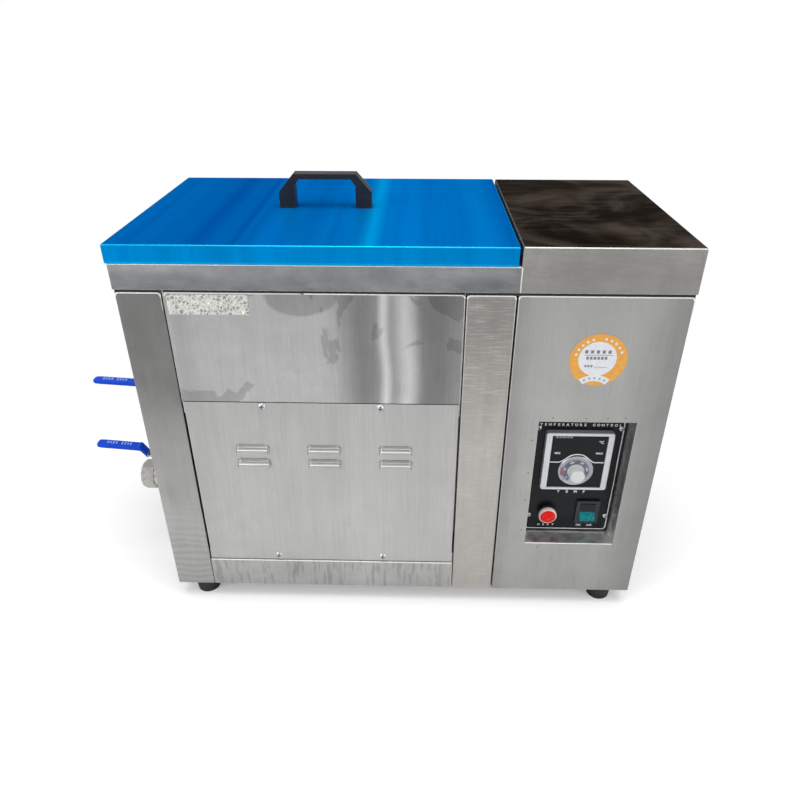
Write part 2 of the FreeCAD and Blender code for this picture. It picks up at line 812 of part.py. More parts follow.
for drain in ("water", "oil"):
    circle(drains, f"{drain}_drain_setback", f"{drain}_drain_height", "drain_bore")
pocket(tank, drains, "tank_wall", back=True)
inlets = new_sketch(tank, "YZ_Plane", tank_right)
for setback in heater_rows:
    circle(inlets, setback, "element_height", "element_diameter + 2 * element_clearance")
circle(inlets, "sensor_setback", "sensor_height", "sensor_diameter + 2 * element_clearance")
pocket(tank, inlets, "tank_wall")
place(tank)

# Heating element: one tube bent into three returns, ending in two rows at the flange
element_start = f"({partition_left} + 3 * sheet + flange_thickness + 16)"
element_end = f"({tank_left} + element_end_space + element_pitch / 2)"
element_return = f"({tank_right} - element_end_space - element_pitch / 2)"


def element_tube():
    radius = value("element_pitch") / 2
    height = value("element_height")
    middle = value(heater_y)
    start = value(element_start)
    end = value(element_end)
    turn_back = value(element_return)
    rows = [middle + step * radius for step in (-3, -1, 1, 3)]
    edges = [Part.LineSegment(Vector(start, rows[0], height), Vector(end, rows[0], height)).toShape()]
    ends = [(end, -1), (turn_back, 1), (end, -1)]
    for index, (place_x, side) in enumerate(ends):
        low_row = rows[index]
        high_row = rows[index + 1]
        knee = Vector(place_x + side * radius, (low_row + high_row) / 2, height)
        leaving = Vector(place_x, high_row, height)
        edges.append(Part.Arc(Vector(place_x, low_row, height), knee, leaving).toShape())
        following = ends[index + 1][0] if index < 2 else start
        edges.append(Part.LineSegment(leaving, Vector(following, high_row, height)).toShape())
    circle_wire = Part.Wire([Part.makeCircle(value("element_diameter") / 2, Vector(start, rows[0], height),
                                             Vector(1, 0, 0))])
    return Part.Wire(edges).makePipeShell([circle_wire], True, False)


shape_node("heating_element", element_tube())

# Element flange and gasket on the tank's outer wall, with bolts through the tank wall
gasket_left = f"({tank_right})"
flange_left = f"({tank_right} + gasket_thickness)"
flange_low = "element_height - flange_height / 2"
flange_high = "element_height + flange_height / 2"
bolt_rows = [f"{heater_y} + {side} * ({flange_y} / 2 - flange_bolt_diameter)" for side in (-1, 1)]


def flange_plate(left, thickness):
    plate = block((left, f"{heater_y} - {flange_y} / 2", flange_low),
                  (f"{left} + {thickness}", f"{heater_y} + {flange_y} / 2", flange_high))
    holes = [rod((f"{left} - sheet", setback, "element_height"), "x",
                 "element_diameter + 2 * element_clearance", f"{thickness} + 2 * sheet")
             for setback in (heater_rows[0], heater_rows[3])]
    holes += [rod((f"{left} - sheet", setback, "element_height"), "x",
                  "flange_bolt_diameter + 2 * fit_gap", f"{thickness} + 2 * sheet") for setback in bolt_rows]
    return cut(plate, holes)


place(keep(flange_plate(gasket_left, "gasket_thickness"), "element_gasket"))
place(keep(flange_plate(flange_left, "flange_thickness"), "element_flange"))
nut_left = f"({flange_left} + flange_thickness)"


def hexagon(across, thickness):
    radius = across / math.sqrt(3)
    angles = [math.radians(60 * step) for step in range(7)]
    corners = [Vector(0, radius * math.cos(angle), radius * math.sin(angle)) for angle in angles]
    return Part.Face(Part.makePolygon(corners)).extrude(Vector(thickness, 0, 0))


def stud_and_nut():
    bolt = value("flange_bolt_diameter")
    nut = hexagon(bolt * 1.65, bolt * 0.8)
    length = value("gasket_thickness + flange_thickness") + bolt * 1.5
    stud = Part.makeCylinder(bolt / 2, length, Vector(-value("gasket_thickness + flange_thickness"), 0, 0),
                             Vector(1, 0, 0))
    return nut.fuse(stud).removeSplitter()


studs = [stud_and_nut().translated(Vector(value(nut_left), value(setback), value("element_height")))
         for setback in bolt_rows]
shape_node("element_nuts", Part.makeCompound(studs))

# A run of wire or capillary: straight stretches joined by tangent arcs
def tube_along(points, diameter, bend):
    spots = [Vector(*point) for point in points]
    edges = []
    start = spots[0]
    for index in range(1, len(spots) - 1):
        corner = spots[index]
        toward = (spots[index - 1] - corner).normalize()
        away = (spots[index + 1] - corner).normalize()
        half_angle = (math.pi - toward.getAngle(away)) / 2
        back = bend * math.tan(half_angle)
        first = corner + toward * back
        last = corner + away * back
        centre_line = (toward + away).normalize()
        middle = corner + centre_line * (bend / math.cos(half_angle) - bend)
        edges.append(Part.LineSegment(start, first).toShape())
        edges.append(Part.Arc(first, middle, last).toShape())
        start = last
    edges.append(Part.LineSegment(start, spots[-1]).toShape())
    heading = (spots[1] - spots[0]).normalize()
    ring = Part.Wire([Part.makeCircle(diameter / 2, spots[0], heading)])
    return Part.Wire(edges).makePipeShell([ring], True, False)


# Element rest: a wire grid that lies on the heating element and is lifted by two loops
rest_low = "(element_height + element_diameter / 2 + seat_gap)"
rest_left = f"({tank_left} + tank_wall + rest_margin)"
rest_right = f"({tank_right} - tank_wall - rest_margin)"
rest_front = f"({tank_front} + tank_wall + rest_margin)"
rest_back = f"({tank_rear} - tank_wall - rest_margin)"


def element_rest():
    wire = value("rest_wire")
    low = value(rest_low)
    left = value(rest_left)
    right = value(rest_right)
    front_line = value(rest_front)
    back_line = value(rest_back)
    gaps = int(value("rest_gaps"))
    bars = []
    for setback in (front_line, (front_line + back_line) / 2, back_line):
        bars.append(Part.makeBox(right - left, wire, wire, Vector(left, setback - wire / 2, low)))
    for step in range(gaps + 1):
        along = left + wire + (right - left - 2 * wire) * step / gaps
        bars.append(Part.makeCylinder(wire / 2, back_line - front_line,
                                      Vector(along, front_line, low + wire), Vector(0, 1, 0)))
    grid = bars[0].multiFuse(bars[1:])
    return grid.removeSplitter()


# Two bent wires welded on the middle bar, half a mesh away from the cross wires
def rest_loops():
    wire = value("rest_wire")
    first = value(rest_left) + wire
    last = value(rest_right) - wire
    pitch = (last - first) / int(value("rest_gaps"))
    reach = pitch * value("rest_loop_pitches")
    middle = (value(rest_front) + value(rest_back)) / 2
    low = value(rest_low) + wire
    high = low + value("rest_loop_height")
    loops = []
    for start in (first + pitch / 2, last - pitch / 2 - reach):
        loop = [(start, middle, low), (start, middle, high), (start + reach, middle, high),
                (start + reach, middle, low)]
        loops.append(tube_along(loop, value("rest_loop_wire"), 2 * wire))
    return Part.makeCompound(loops)


shape_node("element_rest", element_rest())
shape_node("rest_handles", rest_loops())

# Drain pipes: welded to the tank wall, through the side panel to each valve
drain_end = f"(-{wall_out} - valve_offset)"
for name in ("oil", "water"):
    setback = f"{name}_drain_setback"
    height = f"{name}_drain_height"
    tube = rod((drain_end, setback, height), "x", "drain_pipe_diameter", f"{tank_left} - {drain_end}")
    bore = rod((f"{drain_end} - sheet", setback, height), "x", "drain_bore",
               f"{tank_left} - {drain_end} + 2 * sheet")
    place(keep(cut(tube, [bore]), f"{name}_drain_pipe"))


# Ball valve in its own frame: X along the pipe with the outlet at negative X, stem along Z
def valve_body():
    length = value("valve_length")
    across = value("valve_hex")
    hex_length = value("valve_hex_length")
    belly = value("valve_belly") / 2
    bore = value("drain_bore") / 2
    ball = value("ball_diameter / 2 + ball_clearance")
    inlet = hexagon(across, hex_length).translated(Vector(-hex_length, 0, 0))
    outlet = hexagon(across, hex_length).translated(Vector(-length, 0, 0))
    corner = value("valve_corner")
    low_radius = across / 2 - corner
    high_radius = across / 2 + length
    chamfer = Part.makeCone(low_radius, high_radius, length + corner, Vector(0, 0, 0), Vector(-1, 0, 0))
    other = Part.makeCone(low_radius, high_radius, length + corner, Vector(-length, 0, 0), Vector(1, 0, 0))
    neck = value("valve_neck") / 2
    waist = hex_length + value("valve_waist")
    middle = -length / 2
    near_end = -hex_length + corner
    far_end = -length + hex_length - corner
    points = [Vector(far_end, 0, neck), Vector(far_end, 0, 0), Vector(near_end, 0, 0),
              Vector(near_end, 0, neck), Vector(-waist, 0, neck)]
    curve = Part.Arc(points[-1], Vector(middle, 0, belly), Vector(-length + waist, 0, neck)).toShape()
    lines = Part.makePolygon([Vector(-length + waist, 0, neck)] + points)
    edges = lines.Edges + [curve]
    barrel = Part.Face(Part.Wire(edges)).revolve(Vector(0, 0, 0), Vector(1, 0, 0), 360)
    stem_radius = value("stem_diameter / 2 + stem_clearance")
    bonnet = Part.makeCylinder(value("bonnet_diameter") / 2, value("bonnet_rise"), Vector(middle, 0, 0))
    body = barrel.fuse([inlet.common(chamfer), outlet.common(other), bonnet])
    body = body.cut(Part.makeCylinder(bore, length + 2, Vector(1, 0, 0), Vector(-1, 0, 0)))
    body = body.cut(Part.makeSphere(ball, Vector(middle, 0, 0)))
    body = body.cut(Part.makeCylinder(stem_radius, value("bonnet_rise") + 1, Vector(middle, 0, 0)))
    body = body.cut(Part.makeCylinder(value("valve_thread_diameter") / 2, value("valve_thread_length"),
                                      Vector(-length, 0, 0), Vector(1, 0, 0)))
    return body.removeSplitter()


def valve_ball():
    across = value("ball_diameter")
    width = value("ball_slot_width")
    depth = value("ball_slot_depth")
    ball = Part.makeSphere(across / 2)
    bore = Part.makeCylinder(value("drain_bore") / 2, 2 * across, Vector(-across, 0, 0), Vector(1, 0, 0))
    slot = Part.makeBox(across, width, 2 * depth, Vector(-across / 2, -width / 2, across / 2 - depth))
    return ball.cut([bore, slot])


def valve_stem():
    radius = value("stem_diameter") / 2
    bottom = value("ball_diameter / 2 + fit_gap")
    top = value("lever_rise")
    thick = value("lever_thickness")
    width = value("stem_key_width")
    depth = value("stem_key_depth")
    stem = Part.makeCylinder(radius, top - bottom, Vector(0, 0, bottom))
    key = Part.makeBox(radius, width, 2 * depth, Vector(-radius / 2, -width / 2, bottom - depth))
    post = Part.makeCylinder(value("stem_thread_diameter") / 2, thick + value("stem_tail"),
                             Vector(0, 0, top))
    nut = hexagon(value("lever_nut"), value("lever_nut_height"))
    nut.rotate(Vector(0, 0, 0), Vector(0, 1, 0), -90)
    nut.translate(Vector(0, 0, top + thick + value("fit_gap") / 2))
    return stem.fuse([key, post, nut]).removeSplitter()


# The lever is a flat strip: a hole over the stem, a joggle up and a straight end in its grip
def lever_profile(reach, gap):
    tail = value("lever_tail")
    flat = value("lever_flat")
    slope = flat + value("lever_slope")
    low = value("lever_rise")
    high = low + value("lever_joggle")
    tip = high + value("lever_lift")
    end = reach - value("lever_thickness") + gap
    thick = value("lever_thickness") + gap
    points = [(-tail, low - gap), (flat + gap, low - gap), (slope + gap, high - gap), (end, tip - gap),
              (end, tip + thick), (slope - gap, high + thick), (flat - gap, low + thick),
              (-tail, low + thick), (-tail, low - gap)]
    return Part.makePolygon([Vector(-x, 0, z) for x, z in points])


def valve_lever(reach):
    width = value("lever_width")
    strip = Part.Face(lever_profile(reach, 0)).extrude(Vector(0, width, 0))
    strip.translate(Vector(0, -width / 2, 0))
    hole = Part.makeCylinder(value("stem_thread_diameter / 2 + fit_gap / 2"), 2 * value("lever_rise"))
    return strip.cut(hole).removeSplitter()


# One cross-section of a grip: a rounded bar at a distance from the stem
def grip_ring(along, rise, broad, thick):
    half = value("grip_width") / 2 * broad
    tall = value("grip_thickness") / 2 * thick
    radius = min(half, tall) * 0.7
    bow = radius * (1 - math.sqrt(0.5))
    edges = []
    last = None
    first = None
    for side_y, side_z in ((-1, -1), (1, -1), (1, 1), (-1, 1)):
        flat = Vector(-along, side_y * (half - radius), rise + side_z * tall)
        upright = Vector(-along, side_y * half, rise + side_z * (tall - radius))
        knee = Vector(-along, side_y * (half - bow), rise + side_z * (tall - bow))
        start, end = (upright, flat) if side_y == side_z else (flat, upright)
        if last:
            edges.append(Part.LineSegment(last, start).toShape())
        first = first or start
        edges.append(Part.Arc(start, knee, end).toShape())
        last = end
    edges.append(Part.LineSegment(last, first).toShape())
    return Part.Wire(edges)


# The dipped grip follows the lever down its joggle, thicker where it slopes
def valve_grip(reach):
    flat = value("lever_flat")
    slope = flat + value("lever_slope")
    low = value("lever_rise + lever_thickness / 2")
    high = low + value("lever_joggle")
    run = reach - slope
    foot = flat + value("lever_slope / 8")
    foot_rise = low + value("lever_joggle / 8")
    rings = [(foot, foot_rise, 0.92, 1.35), (slope, high, 0.98, 1.35)]
    for share, broad, thick in ((0.08, 1.0, 1.0), (0.88, 1.0, 1.0), (0.97, 0.94, 0.94), (1.0, 0.66, 0.66)):
        rings.append((slope + share * run, high + share * value("lever_lift"), broad, thick))
    sleeve = Part.makeLoft([grip_ring(*ring) for ring in rings], True, True)
    gap = value("grip_clearance")
    width = value("lever_width") + 2 * gap
    core = Part.Face(lever_profile(reach, gap)).extrude(Vector(0, width, 0))
    core.translate(Vector(0, -width / 2, 0))
    return sleeve.cut(core)


for name in ("oil", "water"):
    setback = f"{name}_drain_setback"
    height = f"{name}_drain_height"
    middle = f"{drain_end} - valve_length / 2"
    shape_node(f"{name}_valve_body", valve_body(), drain_end, setback, height)
    reach = value(f"{name}_lever_reach")
    for piece, made in (("ball", valve_ball()), ("stem", valve_stem()), ("lever", valve_lever(reach)),
                        ("grip", valve_grip(reach))):
        shape_node(f"{name}_valve_{piece}", made, middle, setback, height)

# Rubber feet, tapered towards the table, and the screws that hold them
def foot_and_screw():
    low = -value("foot_height")
    well_top = low + value("foot_well")
    nut_low = value("sheet + fit_gap / 2")
    nut_high = nut_low + value("foot_nut_height")
    radius = value("foot_diameter / 2")
    cone = Part.makeCone(radius - value("foot_taper"), radius, -low, Vector(0, 0, low))
    hole = Part.makeCylinder(value("foot_screw_diameter / 2 + fit_gap"), -low, Vector(0, 0, low))
    head_radius = value("foot_head_diameter / 2")
    well = Part.makeCylinder(head_radius + value("seat_gap"), value("foot_well"), Vector(0, 0, low))
    head_low = well_top - value("fit_gap + foot_head_height")
    head = Part.makeCylinder(head_radius, value("foot_head_height"), Vector(0, 0, head_low))
    shank_radius = value("foot_screw_diameter / 2")
    shank = Part.makeCylinder(shank_radius, nut_high + shank_radius - head_low, Vector(0, 0, head_low))
    nut = hexagon(value("foot_nut"), value("foot_nut_height"))
    nut.rotate(Vector(0, 0, 0), Vector(0, 1, 0), -90)
    nut.translate(Vector(0, 0, nut_low))
    return cone.cut([hole, well]), shank.fuse([head, nut]).removeSplitter()


foot, foot_screw = foot_and_screw()
spots = [Vector(value(x), value(y), 0) for x, y in foot_places]
shape_node("rubber_feet", Part.makeCompound([foot.translated(spot) for spot in spots]))
shape_node("foot_screws", Part.makeCompound([foot_screw.translated(spot) for spot in spots]))


# Pan head screw pointing along +Y, with a cross recess
def pan_screw(shank, head, length):
    thickness = head * 0.3
    dome = Part.makeSphere(head * 0.62, Vector(0, head * 0.62 - thickness, 0))
    disc = Part.makeCylinder(head / 2, thickness, Vector(0, -thickness, 0), Vector(0, 1, 0))
    cap = disc.common(dome)
    recess = [Part.makeBox(head * 0.6, thickness * 0.6, head * 0.14,
                           Vector(-head * 0.3, -thickness, -head * 0.07)),
              Part.makeBox(head * 0.14, thickness * 0.6, head * 0.6,
                           Vector(-head * 0.07, -thickness, -head * 0.3))]
    screw = cap.cut(recess).fuse(Part.makeCylinder(shank / 2, length, Vector(0, -0.1, 0), Vector(0, 1, 0)))
    return screw.removeSplitter()


panel_screw = pan_screw(value("panel_screw_diameter"), value("panel_screw_head"),
                        value("panel_screw_length"))
screw_seat = value(f"{panel_front} - fit_gap / 4")
panel_screws = [panel_screw.translated(Vector(value(column), screw_seat, value(height)))
                for column in screw_columns for height in screw_rows]
shape_node("service_panel_screws", Part.makeCompound(panel_screws))

# Recess box: a tray behind the opening of the control box, flanged onto the back of its sheet
shell_back = f"({front} + sheet)"
plate_front = "recess_depth"
plate_back = "(recess_depth + plate_thickness)"
tray_back = f"({plate_back} + sheet)"
tray_flange = block((f"{recess_left} - sheet - recess_flange", shell_back,
                     "recess_bottom - sheet - recess_flange"),
                    (f"{recess_right} + sheet + recess_flange", f"{shell_back} + sheet",
                     f"{recess_top} + sheet + recess_flange"))
tray_outer = block((f"{recess_left} - sheet", shell_back, "recess_bottom - sheet"),
                   (f"{recess_right} + sheet", tray_back, f"{recess_top} + sheet"))
tray_inner = block((recess_left, "0", "recess_bottom"), (recess_right, plate_back, recess_top))
case_half = "thermostat_case_width / 2"
thermostat_z = "thermostat_centre_height"
lamp_x = "(recess_centre - lamp_offset)"
rocker_x = "(recess_centre + rocker_offset)"
rocker_z = "rocker_centre_height"


# The same three cut-outs go through the tray's back wall and the control plate
def control_openings(start, end):
    spread = f"({case_half} + fit_gap)"
    case = block((f"recess_centre - {spread}", start, f"{thermostat_z} - {spread}"),
                 (f"recess_centre + {spread}", end, f"{thermostat_z} + {spread}"))
    lamp = rod((lamp_x, start, "lamp_height"), "y", "lamp_barrel + 2 * fit_gap", f"{end} - ({start})")
    rocker = block((f"{rocker_x} - rocker_width / 2 + rocker_rim - fit_gap", start,
                    f"{rocker_z} - rocker_height / 2 + rocker_rim - fit_gap"),
                   (f"{rocker_x} + rocker_width / 2 - rocker_rim + fit_gap", end,
                    f"{rocker_z} + rocker_height / 2 - rocker_rim + fit_gap"))
    return [case, lamp, rocker]


plate_screw_columns = ("recess_centre - recess_width / 2 + plate_screw_inset",
                       "recess_centre + recess_width / 2 - plate_screw_inset")
plate_screw_rows = ("recess_bottom + plate_screw_low", f"{recess_top} - plate_screw_low")


def plate_screw_holes(start, length):
    return [rod((column, start, height), "y", "3.4", length)
            for column in plate_screw_columns for height in plate_screw_rows]


recess_cuts = control_openings(f"{plate_back} - sheet", f"{tray_back} + sheet")
recess_cuts += plate_screw_holes(f"{plate_back} - sheet", "3 * sheet")
recess_box = keep(cut(fuse([tray_flange, tray_outer]), [tray_inner] + recess_cuts), "recess_box")
place(recess_box)

plate_gap = "seat_gap"
control_blank = block((f"{recess_left} + {plate_gap}", plate_front, f"recess_bottom + {plate_gap}"),
                      (f"{recess_right} - {plate_gap}", plate_back, f"{recess_top} - {plate_gap}"))
plate_cuts = control_openings(f"{plate_front} - sheet", f"{plate_back} + sheet")
plate_cuts += plate_screw_holes(f"{plate_front} - sheet", "3 * sheet")
control_plate = keep(cut(control_blank, plate_cuts), "control_plate")
place(control_plate)
screws = [pan_screw(3, 5.6, 6).translated(Vector(value(column), value(plate_front) - 0.05, value(height)))
          for column in plate_screw_columns for height in plate_screw_rows]
shape_node("control_plate_screws", Part.makeCompound(screws))

# Thermostat: case behind the plate, silver bezel, black face, and a knob with its dial
bezel_front = f"({plate_front} - thermostat_depth)"
face_front = f"({bezel_front} + thermostat_recess)"
shaft_hole = "shaft_diameter + 2 * shaft_clearance"
case_block = block((f"recess_centre - {case_half}", plate_front, f"{thermostat_z} - {case_half}"),
                   (f"recess_centre + {case_half}", f"{plate_front} + thermostat_case_depth",
                    f"{thermostat_z} + {case_half}"))
case_terminals = [
    block((f"recess_centre - {case_half} + 4", f"{plate_front} + thermostat_case_depth - sheet",
           f"{thermostat_z} - {case_half} + {step}"),
          (f"recess_centre + {case_half} - 4", f"{plate_front} + thermostat_case_depth + 6",
           f"{thermostat_z} - {case_half} + {step} + 10")) for step in (4, 18)]
case_shaft = rod(("recess_centre", "0", "dial_height"), "y", shaft_hole, f"{plate_front} + shaft_depth")
place(keep(cut(fuse([case_block] + case_terminals), [case_shaft]), "thermostat_case"))

bezel = new_body("thermostat_bezel")
outline = new_sketch(bezel, "XZ_Plane", f"-{bezel_front}")
rectangle(outline, "recess_centre - thermostat_width / 2", f"{thermostat_z} - thermostat_height / 2",
          "recess_centre + thermostat_width / 2", f"{thermostat_z} + thermostat_height / 2")
pad(bezel, outline, "thermostat_depth", back=True)
window = new_sketch(bezel, "XZ_Plane", f"-{bezel_front}")
rectangle(window,
          "recess_centre - thermostat_face_width / 2", f"{thermostat_z} - thermostat_face_height / 2",
          "recess_centre + thermostat_face_width / 2", f"{thermostat_z} + thermostat_face_height / 2")
pocket(bezel, window, "thermostat_depth")


def bezel_corner(box):
    flat = box.XLength < 1e-3 and box.ZLength < 1e-3
    return flat and near(abs(box.XMin - value("recess_centre")), value("thermostat_width / 2"))


def bezel_rim(box):
    outer_x = abs(abs(box.XMin - value("recess_centre")) - value("thermostat_width / 2")) < 3.2
    on_front = near(box.YMin, value(bezel_front)) and near(box.YMax, box.YMin)
    wide = (box.XLength > value("thermostat_face_width") + 1
            or box.ZLength > value("thermostat_face_height") + 1)
    return on_front and (wide or (outer_x and box.XLength < 3.2 and box.ZLength < 3.2))


round_edges(bezel, "bezel_round", bezel_corner)
round_edges(bezel, "bezel_round / 3", bezel_rim)
place(bezel)

face_blank = block(("recess_centre - thermostat_face_width / 2 + fit_gap / 2", face_front,
                    f"{thermostat_z} - thermostat_face_height / 2 + fit_gap / 2"),
                   ("recess_centre + thermostat_face_width / 2 - fit_gap / 2", plate_front,
                    f"{thermostat_z} + thermostat_face_height / 2 - fit_gap / 2"))
face_hole = rod(("recess_centre", "0", "dial_height"), "y", shaft_hole, f"{plate_front} + sheet")
place(keep(cut(face_blank, [face_hole]), "thermostat_face"))

# The dial and knob lie along +Y from the front of the face
dial_back = f"({face_front} - fit_gap)"
dial_front = f"({dial_back} - dial_thickness)"
dial = new_body("thermostat_dial")
section = new_sketch(dial, "YZ_Plane")
polygon(section, [
    ("0", "(shaft_diameter + 2 * fit_gap) / 2"),
    ("0", "dial_diameter / 2 - dial_thickness / 2"),
    ("dial_thickness / 2", "dial_diameter / 2"),
    ("dial_thickness", "dial_diameter / 2"),
    ("dial_thickness", "(shaft_diameter + 2 * fit_gap) / 2"),
])
revolve(dial, section)
place(dial, "recess_centre", dial_front, "dial_height")

knob = new_body("thermostat_knob")
section = new_sketch(knob, "YZ_Plane")
polygon(section, [
    ("-knob_length", "0"),
    ("-knob_length", "knob_diameter / 2 - 2.2"),
    ("-knob_length + 1", "knob_diameter / 2 - 1.2"),
    ("-2.6", "knob_diameter / 2 - 0.7"),
    ("-2", "knob_diameter / 2"),
    ("0", "knob_diameter / 2"),
    ("0", "shaft_diameter / 2"),
    (f"{plate_front} + shaft_depth - 1 - {dial_front}", "shaft_diameter / 2"),
    (f"{plate_front} + shaft_depth - 1 - {dial_front}", "0"),
])
revolve(knob, section)
flute = new_sketch(knob, "XZ_Plane", "knob_length + 1")
circle(flute, "knob_diameter / 2 - 0.5", "0", "1.6")
doc.recompute()
flutes = pocket(knob, flute, "knob_length - 1.6")
around = knob.newObject("PartDesign::PolarPattern", "around")
around.Originals = [flutes]
around.Axis = (flute, ["N_Axis"])
around.Angle = 360
around.Occurrences = 18
knob.Tip = around
place(knob, "recess_centre", dial_front, "dial_height")

# Pilot lamp: barrel through the plate, ring and domed lens
ring_back = f"({plate_front} - lamp_collar)"
collar = rod((lamp_x, ring_back, "lamp_height"), "y", "lamp_diameter - 1", "lamp_collar")
barrel = rod((lamp_x, ring_back, "lamp_height"), "y", "lamp_barrel", "lamp_collar + lamp_barrel_length")
lamp_nut = rod((lamp_x, tray_back, "lamp_height"), "y", "lamp_barrel + 8", "4")
place(keep(fuse([collar, barrel, lamp_nut]), "lamp_body"))
ring = new_body("lamp_ring")
section = new_sketch(ring, "YZ_Plane")
polygon(section, [
    ("0", "lamp_diameter / 2"),
    ("-lamp_bezel + 1", "lamp_diameter / 2"),
    ("-lamp_bezel", "lamp_diameter / 2 - 1"),
    ("-lamp_bezel", "lamp_lens_diameter / 2 + 0.6"),
    ("-lamp_bezel + 1", "lamp_lens_diameter / 2 + fit_gap / 2"),
    ("0", "lamp_lens_diameter / 2 + fit_gap / 2"),
])
revolve(ring, section)
place(ring, lamp_x, ring_back, "lamp_height")


def lamp_lens():
    radius = value("lamp_lens_diameter") / 2
    edge = value("lamp_bezel") * 0.7
    tip = value("lamp_reach - lamp_collar")
    crown = tip - edge
    sphere_radius = (radius ** 2 + crown ** 2) / (2 * crown)
    stem = Part.makeCylinder(radius, tip, Vector(0, 0, 0), Vector(0, -1, 0))
    return stem.common(Part.makeSphere(sphere_radius, Vector(0, sphere_radius - tip, 0)))


shape_node("lamp_lens", lamp_lens(), lamp_x, ring_back, "lamp_height")

# Rocker switch: a snap-in frame with a well, and a paddle on two short pins
rocker_front = f"({plate_front} - rocker_frame_depth)"
pivot_y = f"({rocker_front} + rocker_pivot_depth)"
well_half = "(rocker_width / 2 - rocker_rim - rocker_wall)"
well_tall = "(rocker_height / 2 - rocker_rim)"
rocker_flange = block((f"{rocker_x} - rocker_width / 2", rocker_front, f"{rocker_z} - rocker_height / 2"),
                      (f"{rocker_x} + rocker_width / 2", plate_front, f"{rocker_z} + rocker_height / 2"))
rocker_case = block((f"{rocker_x} - rocker_width / 2 + rocker_rim", rocker_front,
                     f"{rocker_z} - rocker_height / 2 + rocker_rim"),
                    (f"{rocker_x} + rocker_width / 2 - rocker_rim", f"{plate_front} + rocker_case_depth",
                     f"{rocker_z} + rocker_height / 2 - rocker_rim"))
rocker_well = block((f"{rocker_x} - {well_half}", "0", f"{rocker_z} - {well_tall} + rocker_wall / 2"),
                    (f"{rocker_x} + {well_half}", f"{pivot_y} + rocker_well_depth",
                     f"{rocker_z} + {well_tall} - rocker_wall / 2"))
pin_length = "(rocker_wall - fit_gap)"
pin_bore = rod((f"{rocker_x} - {well_half} - {pin_length} - fit_gap / 2", pivot_y, rocker_z), "x",
               "rocker_pin + 2 * shaft_clearance", f"2 * ({well_half} + {pin_length}) + fit_gap")
rocker_case_back = f"({plate_front} + rocker_case_depth)"
rocker_tabs = [block((f"{rocker_x} - rocker_tab / 2", f"{rocker_case_back} - sheet",
                      f"{rocker_z} + {step} * rocker_tab_spacing"),
                     (f"{rocker_x} + rocker_tab / 2", f"{rocker_case_back} + rocker_tab_spacing",
                      f"{rocker_z} + {step} * rocker_tab_spacing + rocker_tab_thickness"))
               for step in (-1, 0, 1)]
rocker_blank = fuse([rocker_flange, rocker_case] + rocker_tabs)
rocker_frame = keep(cut(rocker_blank, [rocker_well, pin_bore]), "rocker_frame")
place(rocker_frame)


def rocker_paddle():
    half = value(f"{well_half} - seat_gap")
    tall = value(f"{well_tall} - rocker_wall / 2 - rocker_play")
    crown = value("rocker_pivot_depth") + 0.4
    upper = [(-crown, 0), (-crown - 1.9, tall), (-crown - 0.9, tall + 0.35), (1, tall - 0.4), (5, tall / 2)]
    lower = [(y, -z) for y, z in reversed(upper)]
    outline = Part.makePolygon([Vector(-half, y, z) for y, z in upper + lower])
    paddle = Part.Face(outline).extrude(Vector(2 * half, 0, 0))
    reach = half + value(f"{pin_length} + seat_gap") - 0.2
    pins = Part.makeCylinder(value("rocker_pin") / 2, 2 * reach, Vector(-reach, 0, 0), Vector(1, 0, 0))
    paddle = paddle.fuse(pins).removeSplitter()
    paddle.rotate(Vector(0, 0, 0), Vector(1, 0, 0), -value("rocker_tilt"))
    return paddle


shape_node("rocker_paddle", rocker_paddle(), rocker_x, pivot_y, rocker_z)


# Thermostat sensor: its bulb lies in the tank, and its capillary runs to the case
gland_left = tank_right
sensor_end = f"({tank_right} + sensor_gland_length + sheet)"
bulb = Part.makeCylinder(value("sensor_diameter") / 2, value(f"{sensor_end} - {tank_right} + sensor_length"),
                         Vector(value(f"{tank_right} - sensor_length"), value("sensor_setback"),
                                value("sensor_height")), Vector(1, 0, 0))
capillary_route = [
    (value(sensor_end) - 0.5, value("sensor_setback"), value("sensor_height")),
    (value("recess_centre"), value("sensor_setback"), value("sensor_height")),
    (value("recess_centre"), value(f"{plate_front} + thermostat_case_depth + fit_gap"),
     value(f"{thermostat_z} + capillary_bend")),
]
capillary = tube_along(capillary_route, value("capillary_diameter"), value("capillary_bend"))
shape_node("temperature_sensor", bulb.fuse(capillary).removeSplitter())
gland_hexagon = hexagon(value("sensor_gland_hex"), value("sensor_gland_length"))
gland_tube = Part.makeCylinder(value("sensor_diameter / 2 + fit_gap / 2"), value("sensor_gland_length"),
                               Vector(0, 0, 0), Vector(1, 0, 0))
shape_node("sensor_gland", gland_hexagon.cut(gland_tube), gland_left, "sensor_setback", "sensor_height")

# High limit cut-out on the partition wall
cutout_left = f"({partition_left} + sheet)"
cutout_right = f"({cutout_left} + cutout_depth)"
cutout_body = block((cutout_left, "cutout_setback", "cutout_height"),
                    (cutout_right, "cutout_setback + cutout_size", "cutout_height + cutout_size"))
cutout_cap = rod((cutout_right, "cutout_setback + cutout_size / 2", "cutout_height + cutout_size / 2"), "x",
                 "cutout_cap_diameter", "cutout_cap_length")
cutout_ears = block((cutout_left, "cutout_setback - cutout_ear",
                     "cutout_height + cutout_size / 2 - cutout_ear_width / 2"),
                    (f"{cutout_left} + cutout_ear_thickness", "cutout_setback + cutout_size + cutout_ear",
                     "cutout_height + cutout_size / 2 + cutout_ear_width / 2"))
place(keep(fuse([cutout_body, cutout_cap, cutout_ears]), "overheat_cutout"))

